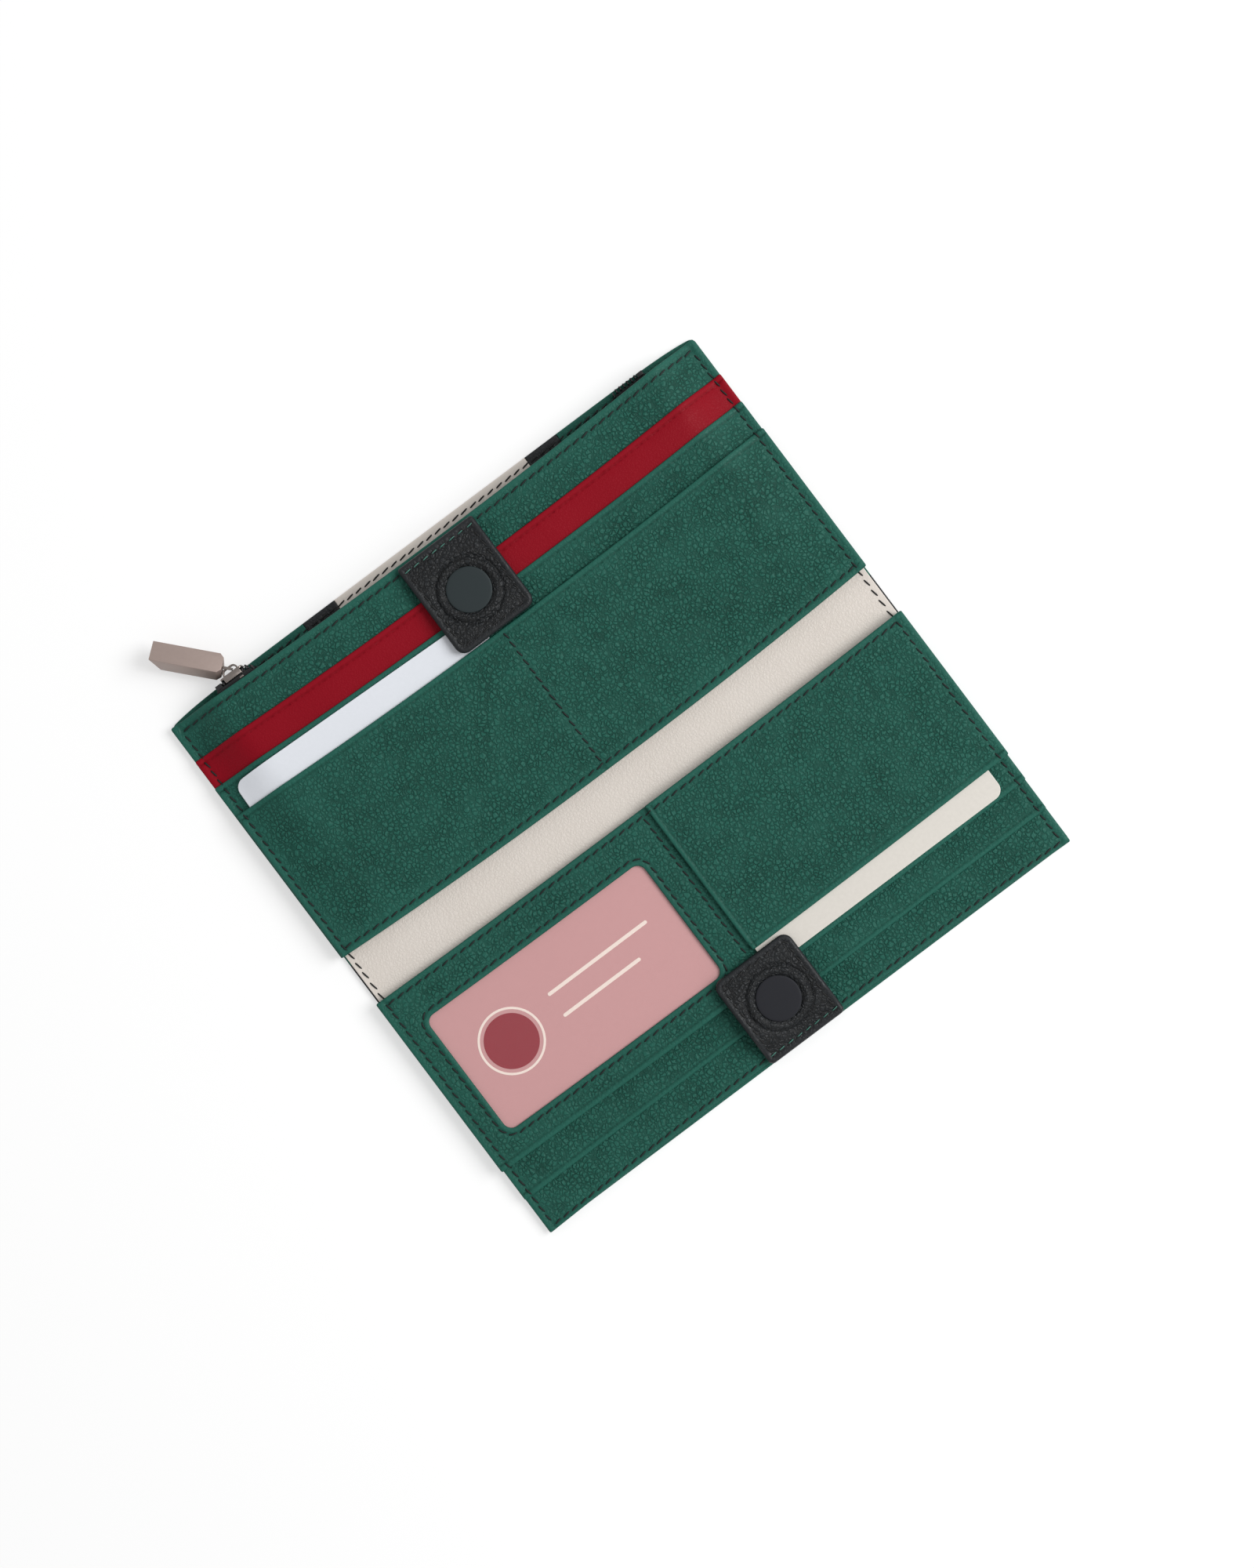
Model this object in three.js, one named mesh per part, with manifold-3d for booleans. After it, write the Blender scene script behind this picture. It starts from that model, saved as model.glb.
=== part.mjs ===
// A long two-fold leather wallet, lying open on its back.
// X runs along the spine, Y across the two halves, Z up. Millimetres and degrees.
// The origin is the middle of the spine's underside. The zip pocket is in the +Y half.
import * as THREE from 'three';
import { mergeVertices } from 'three/addons/utils/BufferGeometryUtils.js';
import Module from 'manifold-3d';

const wasm = await Module();
wasm.setup();

// Overall sizes
const walletLength = 190.5;
const halfLength = walletLength / 2;
const lowerEdge = 91.7; // spine centre to the lower half's outer edge
const upperCoverEdge = 93.2; // spine centre to the upper cover's outer edge
const mouthSetback = 2.4; // the inner stack stops short of the cover at the zip
const upperStackStart = 5.95; // spine centre to the upper inner stack
const lowerStackStart = 8.8; // spine centre to the lower inner stack
const foldSetback = 0.75; // fold line to the inner stack beside it

// Leather, lining and card thicknesses
const coverThickness = 1.2;
const liningThickness = 0.3;
const spineLiningThickness = 0.6;
const liningInset = 0.6; // spine lining's ends, inside the cover's ends
const panelThickness = 0.78;
const pocketLeather = 0.7;
const cardThickness = 0.76;
const cardRoom = cardThickness + 0.1; // height of the recess that a card slides into
const filmThickness = 0.2;
const layerGap = 0.02; // between two layers that lie on each other
const sideGap = 0.3; // between pieces that lie edge to edge

// Zip pocket: how high its upper wall stands off at the mouth, and where it slopes away
const mouthHeight = 7.1;
const slopeStart = 14; // Y where the upper wall leaves the cover
const slopeEnd = upperCoverEdge - 9.2; // Y where it is level again, up to the mouth
const rampOutside = halfLength - 1.75; // |X| of the closed side seam
const rampInside = rampOutside - 15.5; // |X| where the full height is reached
const rampSteps = 6;
const slopeSteps = 3;

// Slot edges, measured from the spine's centre line
const redSlotEdge = upperCoverEdge - 13.6;
const greenSlotEdge = redSlotEdge - 9.4;
const upperPocketEdge = greenSlotEdge - 10.3;
const lowerSlotEdge = lowerEdge - 11.6;
const windowPanelEdge = lowerSlotEdge - 9.7;
const lowerPocketEdge = windowPanelEdge - 9.2;
const lowerPocketLeft = 1.5; // X of the lower front pocket's free side edge
const seamMargin = 3; // side, centre and bottom seams of a card recess

// Cards, and the window that shows one of them
const cardLength = 85.6;
const cardWidth = 54;
const cardCorner = 3.2;
const upperCardLeft = 4.05 - halfLength;
const upperCardTop = upperPocketEdge + 8;
const lowerCardLeft = 1.4 + sideGap + seamMargin;
const lowerCardBottom = lowerPocketEdge + 7.8;
const windowCentreX = 47.15 - halfLength;
const windowCentreY = 29.1 - windowPanelEdge;
const windowLength = 77.6;
const windowWidth = 40.8;
const windowCorner = 2.8;
const filmBorder = 3.2; // film hidden under the window's leather frame
const slideClearance = 0.4; // around a card or film in its recess

// Closing tabs with their pressed discs
const tabWidth = 27.1;
const tabCorner = 3;
const tabBackThickness = 0.7;
const tabFaceThickness = 1.5;
const tabRest = 0.1; // tab to the highest edge that it lies over
const tabHem = 5; // sewn end of a tab, which reaches down to the panel
const upperTab = {
  centreX: -1.25,
  near: upperCoverEdge - 36,
  far: upperCoverEdge - 4.6,
  discY: upperCoverEdge - 21.6,
};
const lowerTab = {
  centreX: -0.75,
  near: lowerEdge - 29.1,
  far: lowerEdge + 0.2,
  discY: lowerEdge - 14.6,
};
const discRadius = 7.1;
const discHeight = 0.55;
const discInset = 0.35; // the disc is seated this deep in the face
const ringInner = discRadius + 0.4;
const ringOuter = ringInner + 1.8;
const ringHeight = 0.35;
const magnetRadius = discRadius - 0.5;
const magnetThickness = 0.7;
const magnetRoom = magnetThickness + 0.1;

// Zip
const toothPitch = 2;
const toothLength = 0.62; // how far a tooth reaches past its root band
const rowRoot = 0.33; // root band that carries the teeth
const rowThickness = 1.28;
const rowInset = 0.75; // back of a row to the leather face behind it
const rowHalfLength = halfLength - 19.85;
const tapeThickness = 0.3;
const tapeFoldY = upperCoverEdge - 1.2; // Y where a tape turns upright to carry its row
const tapeUpright = 1.4;
const stopLength = 2;
const runClearance = 0.2;

// Slider, bail and pull
const sliderRestX = 4.2 - rowHalfLength;
const sliderLength = 7.6;
const sliderPlate = 0.6;
const sliderLip = 0.45;
const lipClearance = 0.15;
const sliderTail = 4.4; // narrow end of the slider's plates
const bailLength = 5.2;
const bailWidth = 1.4;
const bailHeight = 2;
const bailWire = 0.55;
const pivotOffsetX = 0.5; // pull's pivot, from the slider's middle
const pivotY = upperCoverEdge + 2.22;
const linkWire = 0.8;
const linkInside = 2.2;
const barStart = 2.4; // pivot to the bar's near end
const barLength = 21.2;
const barWidth = 6.3;
const barDepth = 5.3;
const barBevel = 1.2;
const barTipCut = 3.4; // the free end is cut back on its underside
const barRoll = 25;
const pullDirection = 132.6; // from +X, seen from above

// Colour blocks of the upper cover, as X limits from the left end
const coverBlocks = [
  { name: 'upper_cover_green_left', until: halfLength - 46.25, colour: 0x2b5c4f },
  { name: 'upper_cover_black_left', until: halfLength - 34.75, colour: 0x1e2124 },
  { name: 'upper_cover_cream', until: halfLength + 34.75, colour: 0xd4cbc6 },
  { name: 'upper_cover_black_right', until: halfLength + 46.25, colour: 0x1e2124 },
  { name: 'upper_cover_green_right', until: walletLength, colour: 0x2b5c4f },
];

// Finishes: colour, roughness, metalness
const greenLeather = [0x2b5c4f, 0.55, 0];
const redLeather = [0x8c1426, 0.5, 0];
const blackLeather = [0x1e2124, 0.6, 0];
const blackSmooth = [0x2c3435, 0.5, 0];
const creamLeather = [0xd4cbc6, 0.6, 0];
const blackCloth = [0x17181a, 0.9, 0];
const whiteCard = [0xd7dbe2, 0.4, 0];
const creamCard = [0xece2d4, 0.4, 0];
const pinkCard = [0xc89694, 0.4, 0];
const clearFilm = [0xf4f6f6, 0.1, 0];
const blackTeeth = [0x141416, 0.5, 0];
const darkMetal = [0x55504e, 0.3, 1];
const taupeMetal = [0xa5968f, 0.35, 1];
const magnetMetal = [0x8d8f92, 0.35, 1];

// Places that follow from the sizes above
const upperFold = upperStackStart - foldSetback;
const lowerFold = lowerStackStart - foldSetback;
const stackEdge = upperCoverEdge - mouthSetback;
const coverTop = coverThickness;
const liningTop = coverTop + layerGap + liningThickness;
const rowPlane = tapeFoldY + tapeThickness + layerGap;

const wallet = new THREE.Group();

function solidOf(geometry) {
  geometry.deleteAttribute('normal');
  geometry.deleteAttribute('uv');
  const merged = mergeVertices(geometry);
  return new wasm.Manifold(
    new wasm.Mesh({
      numProp: 3,
      vertProperties: new Float32Array(merged.attributes.position.array),
      triVerts: new Uint32Array(merged.index.array),
    })
  );
}

function addPiece(parent, name, solid, finish) {
  const mesh = solid.getMesh();
  const geometry = new THREE.BufferGeometry();
  geometry.setAttribute('position', new THREE.BufferAttribute(new Float32Array(mesh.vertProperties), 3));
  geometry.setIndex(new THREE.BufferAttribute(new Uint32Array(mesh.triVerts), 1));
  geometry.computeVertexNormals();
  const [color, roughness, metalness] = finish;
  const piece = new THREE.Mesh(geometry, new THREE.MeshStandardMaterial({ color, roughness, metalness }));
  piece.name = name;
  parent.add(piece);
}

function merge(...solids) {
  return solids.reduce((whole, next) => whole.add(next));
}

// Outline of a rectangle whose corners may each have their own radius:
// [low X low Y, high X low Y, high X high Y, low X high Y].
function outline(x0, x1, y0, y1, radii = [0, 0, 0, 0]) {
  const [a, b, c, d] = radii;
  const shape = new THREE.Shape();
  shape.moveTo(x0 + a, y0);
  shape.lineTo(x1 - b, y0);
  if (b) shape.absarc(x1 - b, y0 + b, b, -Math.PI / 2, 0);
  shape.lineTo(x1, y1 - c);
  if (c) shape.absarc(x1 - c, y1 - c, c, 0, Math.PI / 2);
  shape.lineTo(x0 + d, y1);
  if (d) shape.absarc(x0 + d, y1 - d, d, Math.PI / 2, Math.PI);
  shape.lineTo(x0, y0 + a);
  if (a) shape.absarc(x0 + a, y0 + a, a, Math.PI, 1.5 * Math.PI);
  return shape;
}

function prism(shape, z0, z1, curveSegments = 5) {
  const geometry = new THREE.ExtrudeGeometry(shape, { depth: z1 - z0, bevelEnabled: false, curveSegments });
  geometry.translate(0, 0, z0);
  return solidOf(geometry);
}

function block(x0, x1, y0, y1, z0, z1) {
  const geometry = new THREE.BoxGeometry(x1 - x0, y1 - y0, z1 - z0);
  geometry.translate((x0 + x1) / 2, (y0 + y1) / 2, (z0 + z1) / 2);
  return solidOf(geometry);
}

function disc(radius, x, y, z0, z1, segments = 28) {
  const geometry = new THREE.CylinderGeometry(radius, radius, z1 - z0, segments);
  geometry.rotateX(Math.PI / 2);
  geometry.translate(x, y, (z0 + z1) / 2);
  return solidOf(geometry);
}

// Profile in Y and Z, drawn as a shape of (y, z), run along X from x0 to x1.
function runAlongX(shape, x0, x1) {
  const geometry = new THREE.ExtrudeGeometry(shape, { depth: x1 - x0, bevelEnabled: false });
  const axes = new THREE.Matrix4().makeBasis(
    new THREE.Vector3(0, 1, 0),
    new THREE.Vector3(0, 0, 1),
    new THREE.Vector3(1, 0, 0)
  );
  geometry.applyMatrix4(axes);
  geometry.translate(x0, 0, 0);
  return solidOf(geometry);
}

// Profile in X and Z, drawn as a shape of (x, z), run along Y from y0 to y1.
function runAlongY(shape, y0, y1, curveSegments = 5) {
  const geometry = new THREE.ExtrudeGeometry(shape, { depth: y1 - y0, bevelEnabled: false, curveSegments });
  geometry.rotateX(Math.PI / 2);
  geometry.translate(0, y1, 0);
  return solidOf(geometry);
}

// The upper stack rises over the zip pocket. Every layer of it is cut from one height field.
function pocketRise(x, y) {
  const across = THREE.MathUtils.smoothstep(rampOutside - Math.abs(x), 0, rampOutside - rampInside);
  const along = THREE.MathUtils.clamp((y - slopeStart) / (slopeEnd - slopeStart), 0, 1);
  return mouthHeight * across * along;
}

function steps(from, to, count) {
  return Array.from({ length: count + 1 }, (_, i) => from + ((to - from) * i) / count);
}

const fieldX = [
  -halfLength - 2,
  ...steps(-rampOutside, -rampInside, rampSteps),
  ...steps(rampInside, rampOutside, rampSteps),
  halfLength + 2,
];
const fieldY = [upperStackStart - 2, ...steps(slopeStart, slopeEnd, slopeSteps), upperCoverEdge + 2];

function risingSlab(z0, z1) {
  const columns = fieldX.length;
  const rows = fieldY.length;
  const positions = [];
  for (const lift of [z0, z1]) {
    for (const y of fieldY) {
      for (const x of fieldX) positions.push(x, y, lift + pocketRise(x, y));
    }
  }
  const at = (level, row, column) => (level * rows + row) * columns + column;
  const index = [];
  const quad = (a, b, c, d) => index.push(a, b, c, a, c, d);
  for (let r = 0; r + 1 < rows; r++) {
    for (let c = 0; c + 1 < columns; c++) {
      index.push(at(1, r, c), at(1, r, c + 1), at(1, r + 1, c + 1));
      index.push(at(1, r, c), at(1, r + 1, c + 1), at(1, r + 1, c));
      index.push(at(0, r, c), at(0, r + 1, c + 1), at(0, r, c + 1));
      index.push(at(0, r, c), at(0, r + 1, c), at(0, r + 1, c + 1));
    }
  }
  for (let c = 0; c + 1 < columns; c++) {
    quad(at(0, 0, c), at(0, 0, c + 1), at(1, 0, c + 1), at(1, 0, c));
    quad(at(0, rows - 1, c + 1), at(0, rows - 1, c), at(1, rows - 1, c), at(1, rows - 1, c + 1));
  }
  for (let r = 0; r + 1 < rows; r++) {
    quad(at(0, r + 1, 0), at(0, r, 0), at(1, r, 0), at(1, r + 1, 0));
    quad(at(0, r, columns - 1), at(0, r + 1, columns - 1), at(1, r + 1, columns - 1), at(1, r, columns - 1));
  }
  const geometry = new THREE.BufferGeometry();
  geometry.setAttribute('position', new THREE.Float32BufferAttribute(positions, 3));
  geometry.setIndex(index);
  return solidOf(geometry);
}

const farBelow = -5;
const farAbove = 40;

function risingLayer(shape, z0, z1) {
  return risingSlab(z0, z1).intersect(prism(shape, farBelow, farAbove));
}

// Tab: a back layer with a hem that reaches down to the panel, a face with a magnet room,
// a raised ring and a seat for the disc, the magnet, and the disc.
function addTab(prefix, tab, side, underside, hemSolid) {
  const x0 = tab.centreX - tabWidth / 2;
  const x1 = tab.centreX + tabWidth / 2;
  const r = tabCorner;
  const discY = side * tab.discY;
  const shape =
    side > 0 ? outline(x0, x1, tab.near, tab.far, [r, r, 0, 0]) : outline(x0, x1, -tab.far, -tab.near, [0, 0, r, r]);
  const backTop = underside + tabBackThickness;
  const faceBottom = backTop + layerGap;
  const faceTop = faceBottom + tabFaceThickness;
  const back = prism(shape, underside, backTop).add(hemSolid(outline(
    x0, x1, side > 0 ? tab.far - tabHem : -tab.far, side > 0 ? tab.far : -tab.far + tabHem)));
  const ring = disc(ringOuter, tab.centreX, discY, faceTop - layerGap, faceTop + ringHeight).subtract(
    disc(ringInner, tab.centreX, discY, faceTop - 1, faceTop + 1)
  );
  const face = prism(shape, faceBottom, faceTop)
    .subtract(disc(magnetRadius + runClearance, tab.centreX, discY, faceBottom - 1, faceBottom + magnetRoom))
    .subtract(disc(discRadius + layerGap, tab.centreX, discY, faceTop - discInset, faceTop + 1))
    .add(ring);
  const magnetBottom = faceBottom + (magnetRoom - magnetThickness) / 2;
  const discBottom = faceTop - discInset + layerGap;
  addPiece(wallet, `${prefix}_tab_back`, back, blackLeather);
  addPiece(wallet, `${prefix}_tab_face`, face, blackLeather);
  addPiece(wallet, `${prefix}_tab_magnet`,
    disc(magnetRadius, tab.centreX, discY, magnetBottom, magnetBottom + magnetThickness), magnetMetal);
  addPiece(wallet, `${prefix}_tab_disc`,
    disc(discRadius, tab.centreX, discY, discBottom, discBottom + discHeight), blackSmooth);
}

// Spine: outer leather and the lining strip that shows when the wallet is open.
function addSpine() {
  const low = -lowerFold + sideGap / 2;
  const high = upperFold - sideGap / 2;
  addPiece(wallet, 'spine_cover', block(-halfLength, halfLength, low, high, 0, coverTop), blackLeather);
  addPiece(wallet, 'spine_lining',
    block(-halfLength + liningInset, halfLength - liningInset, low, high,
      coverTop + layerGap, coverTop + layerGap + spineLiningThickness), creamLeather);
}

// Lower half: cover, lining, base panel, slot panel, window panel and front pocket.
function addLowerHalf() {
  const inner = -lowerStackStart;
  const outer = -lowerEdge;
  const sheet = (edge, z0, z1) => block(-halfLength, halfLength, edge, inner, z0, z1);
  addPiece(wallet, 'lower_cover',
    block(-halfLength, halfLength, outer, -lowerFold - sideGap / 2, 0, coverTop), greenLeather);
  addPiece(wallet, 'lower_lining', sheet(outer, coverTop + layerGap, liningTop), blackCloth);
  const baseTop = liningTop + layerGap + panelThickness;
  addPiece(wallet, 'lower_base_panel', sheet(outer, liningTop + layerGap, baseTop), greenLeather);
  const slotTop = baseTop + layerGap + panelThickness;
  addPiece(wallet, 'lower_slot_panel', sheet(-lowerSlotEdge, baseTop + layerGap, slotTop), greenLeather);

  const windowBottom = slotTop + layerGap;
  const filmBottom = windowBottom + cardRoom;
  const windowTop = filmBottom + filmThickness + 2 * layerGap + pocketLeather;
  const windowAt = (grow, z0, z1, corner) => prism(
    outline(windowCentreX - windowLength / 2 - grow, windowCentreX + windowLength / 2 + grow,
      windowCentreY - windowWidth / 2 - grow, windowCentreY + windowWidth / 2 + grow,
      [corner, corner, corner, corner]), z0, z1);
  const cardX0 = windowCentreX - cardLength / 2;
  const cardX1 = windowCentreX + cardLength / 2;
  const idCardBottom = windowCentreY - cardWidth / 2 + 1.5;
  const windowPanel = sheet(-windowPanelEdge, windowBottom, windowTop)
    .subtract(windowAt(0, windowBottom - 1, windowTop + 1, windowCorner))
    .subtract(windowAt(filmBorder + slideClearance, filmBottom - 0.01, filmBottom + filmThickness + 2 * layerGap,
      windowCorner))
    .subtract(block(cardX0 - slideClearance, cardX1 + slideClearance, -windowPanelEdge - 1,
      idCardBottom + cardWidth + slideClearance, windowBottom - 1, filmBottom));
  addPiece(wallet, 'window_panel', windowPanel, greenLeather);
  addPiece(wallet, 'window_film',
    windowAt(filmBorder, filmBottom + layerGap, filmBottom + layerGap + filmThickness, windowCorner), clearFilm);
  const corners = [cardCorner, cardCorner, cardCorner, cardCorner];
  addPiece(wallet, 'id_card',
    prism(outline(cardX0, cardX1, idCardBottom, idCardBottom + cardWidth, corners),
      windowBottom + layerGap, windowBottom + layerGap + cardThickness), pinkCard);

  const pocketBottom = windowTop + layerGap;
  const pocketTop = pocketBottom + cardRoom + pocketLeather;
  const recessLeft = lowerCardLeft - slideClearance;
  const recessRight = lowerCardLeft + cardLength + slideClearance;
  const pocket = block(lowerPocketLeft, halfLength, -lowerPocketEdge, inner, pocketBottom, pocketTop).subtract(
    block(recessLeft, recessRight, -lowerPocketEdge - 1, -lowerCardBottom + cardWidth + slideClearance,
      pocketBottom - 1, pocketBottom + cardRoom));
  addPiece(wallet, 'lower_front_pocket', pocket, greenLeather);
  addPiece(wallet, 'lower_card',
    prism(outline(lowerCardLeft, lowerCardLeft + cardLength, -lowerCardBottom, -lowerCardBottom + cardWidth, corners),
      pocketBottom + layerGap, pocketBottom + layerGap + cardThickness), creamCard);

  const tabUnderside = pocketBottom + layerGap + cardThickness + tabRest;
  addTab('lower', lowerTab, -1, tabUnderside,
    (shape) => prism(shape, baseTop + layerGap, tabUnderside + layerGap).subtract(
      block(-halfLength, halfLength, -lowerSlotEdge - sideGap, 0, 0, slotTop + layerGap)));
}

// Upper half: the colour-blocked cover, and the slot panels and pocket over the zip pocket.
function addUpperHalf() {
  let left = -halfLength;
  for (const part of coverBlocks) {
    const right = part.until - halfLength;
    const start = left === -halfLength ? left : left + sideGap / 2;
    const end = part.until === walletLength ? right : right - sideGap / 2;
    addPiece(wallet, part.name, block(start, end, upperFold + sideGap / 2, upperCoverEdge, 0, coverTop),
      [part.colour, 0.58, 0]);
    left = right;
  }
  const sheetTo = (edge) => outline(-halfLength, halfLength, upperStackStart, edge);
  const liningEdge = slopeEnd - sideGap;
  addPiece(wallet, 'pocket_lining_back',
    block(-halfLength, halfLength, upperStackStart, liningEdge, coverTop + layerGap, liningTop), blackCloth);
  const frontLiningTop = liningTop + layerGap + liningThickness;
  addPiece(wallet, 'pocket_lining_front',
    risingLayer(sheetTo(liningEdge), liningTop + layerGap, frontLiningTop), blackCloth);

  const baseTop = frontLiningTop + layerGap + panelThickness;
  addPiece(wallet, 'upper_base_panel',
    risingLayer(sheetTo(stackEdge), frontLiningTop + layerGap, baseTop), greenLeather);
  const redTop = baseTop + layerGap + panelThickness;
  addPiece(wallet, 'red_slot_panel', risingLayer(sheetTo(redSlotEdge), baseTop + layerGap, redTop), redLeather);
  const greenTop = redTop + layerGap + panelThickness;
  addPiece(wallet, 'green_slot_panel', risingLayer(sheetTo(greenSlotEdge), redTop + layerGap, greenTop), greenLeather);

  const pocketBottom = greenTop + layerGap;
  const pocketTop = pocketBottom + cardRoom + pocketLeather;
  const recessBottom = upperCardTop - cardWidth - slideClearance;
  const recess = (x0, x1) => risingLayer(
    outline(x0, x1, recessBottom, upperPocketEdge + 1), pocketBottom - 0.01, pocketBottom + cardRoom);
  const leftStart = upperCardLeft - slideClearance;
  const leftEnd = upperCardLeft + cardLength + slideClearance;
  const pocket = risingLayer(sheetTo(upperPocketEdge), pocketBottom, pocketTop)
    .subtract(recess(leftStart, leftEnd))
    .subtract(recess(-leftEnd, -leftStart));
  addPiece(wallet, 'upper_front_pocket', pocket, greenLeather);
  const corners = [cardCorner, cardCorner, cardCorner, cardCorner];
  addPiece(wallet, 'upper_card',
    risingLayer(outline(upperCardLeft, upperCardLeft + cardLength, upperCardTop - cardWidth, upperCardTop, corners),
      pocketBottom + layerGap, pocketBottom + layerGap + cardThickness), whiteCard);

  // The tab lies level: the stack's slope and its stepped slots cancel out under it.
  const cardTop = pocketBottom + layerGap + cardThickness;
  const tabUnderside = tabRest + Math.max(
    pocketRise(0, upperPocketEdge) + pocketTop, pocketRise(0, upperCardTop) + cardTop);
  addTab('upper', upperTab, 1, tabUnderside,
    (shape) => risingLayer(shape, baseTop + layerGap, tabUnderside).intersect(
      prism(shape, farBelow, tabUnderside + layerGap)));
  return { mouthTop: mouthHeight + frontLiningTop + layerGap };
}

// Zip: two tapes turned upright at the mouth, a toothed row on each, and the stops at both ends.
function addZip(mouthTop) {
  const backFace = coverTop;
  const frontFace = mouthTop;
  const flip = (z) => backFace + frontFace - z;
  const tapeStart = slopeEnd;
  const tapeProfile = (mirror) => {
    const z = mirror ? flip : (value) => value;
    const shape = new THREE.Shape();
    shape.moveTo(tapeStart, z(backFace + layerGap));
    shape.lineTo(tapeFoldY + tapeThickness, z(backFace + layerGap));
    shape.lineTo(tapeFoldY + tapeThickness, z(backFace + layerGap + tapeUpright));
    shape.lineTo(tapeFoldY, z(backFace + layerGap + tapeUpright));
    shape.lineTo(tapeFoldY, z(backFace + layerGap + tapeThickness));
    shape.lineTo(tapeStart, z(backFace + layerGap + tapeThickness));
    return shape;
  };
  const tapeHalf = rowHalfLength + stopLength + sideGap;
  addPiece(wallet, 'zip_tape_back', runAlongX(tapeProfile(false), -tapeHalf, tapeHalf), blackCloth);
  addPiece(wallet, 'zip_tape_front', runAlongX(tapeProfile(true), -tapeHalf, tapeHalf), blackCloth);

  // One row seen along Y: a root band with teeth that are narrow at the neck and wide at the head.
  const rowShape = (mirror) => {
    const z = mirror ? flip : (value) => value;
    const root = backFace + rowInset;
    const neck = root + rowRoot;
    const head = neck + toothLength;
    const half = toothPitch / 2;
    const count = Math.floor((2 * rowHalfLength) / toothPitch) - 1;
    const first = -(count * toothPitch) / 2 + (mirror ? half / 2 : -half / 2);
    const shape = new THREE.Shape();
    shape.moveTo(-rowHalfLength, z(root));
    shape.lineTo(rowHalfLength, z(root));
    shape.lineTo(rowHalfLength, z(neck));
    for (let i = count; i >= 0; i--) {
      const x = first + i * toothPitch;
      shape.lineTo(x + half * 0.42, z(neck));
      shape.lineTo(x + half * 0.55, z(neck + toothLength * 0.55));
      shape.lineTo(x + half * 0.3, z(head));
      shape.lineTo(x - half * 0.3, z(head));
      shape.lineTo(x - half * 0.55, z(neck + toothLength * 0.55));
      shape.lineTo(x - half * 0.42, z(neck));
    }
    shape.lineTo(-rowHalfLength, z(neck));
    return shape;
  };
  addPiece(wallet, 'zip_teeth_back', runAlongY(rowShape(false), rowPlane, rowPlane + rowThickness), blackTeeth);
  addPiece(wallet, 'zip_teeth_front', runAlongY(rowShape(true), rowPlane, rowPlane + rowThickness), blackTeeth);

  const stopStart = rowHalfLength + layerGap;
  const stopDepth = rowPlane + rowThickness;
  const stopRoot = backFace + rowInset;
  const stopHeight = rowRoot + toothLength;
  addPiece(wallet, 'zip_bottom_stop',
    block(-stopStart - stopLength, -stopStart, rowPlane, stopDepth, stopRoot, flip(stopRoot)), darkMetal);
  addPiece(wallet, 'zip_top_stop_back',
    block(stopStart, stopStart + stopLength, rowPlane, stopDepth, stopRoot, stopRoot + stopHeight), darkMetal);
  addPiece(wallet, 'zip_top_stop_front',
    block(stopStart, stopStart + stopLength, rowPlane, stopDepth, flip(stopRoot + stopHeight), flip(stopRoot)),
    darkMetal);
  return { middle: (backFace + frontFace) / 2, halfWidth: (frontFace - backFace) / 2 };
}

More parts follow.
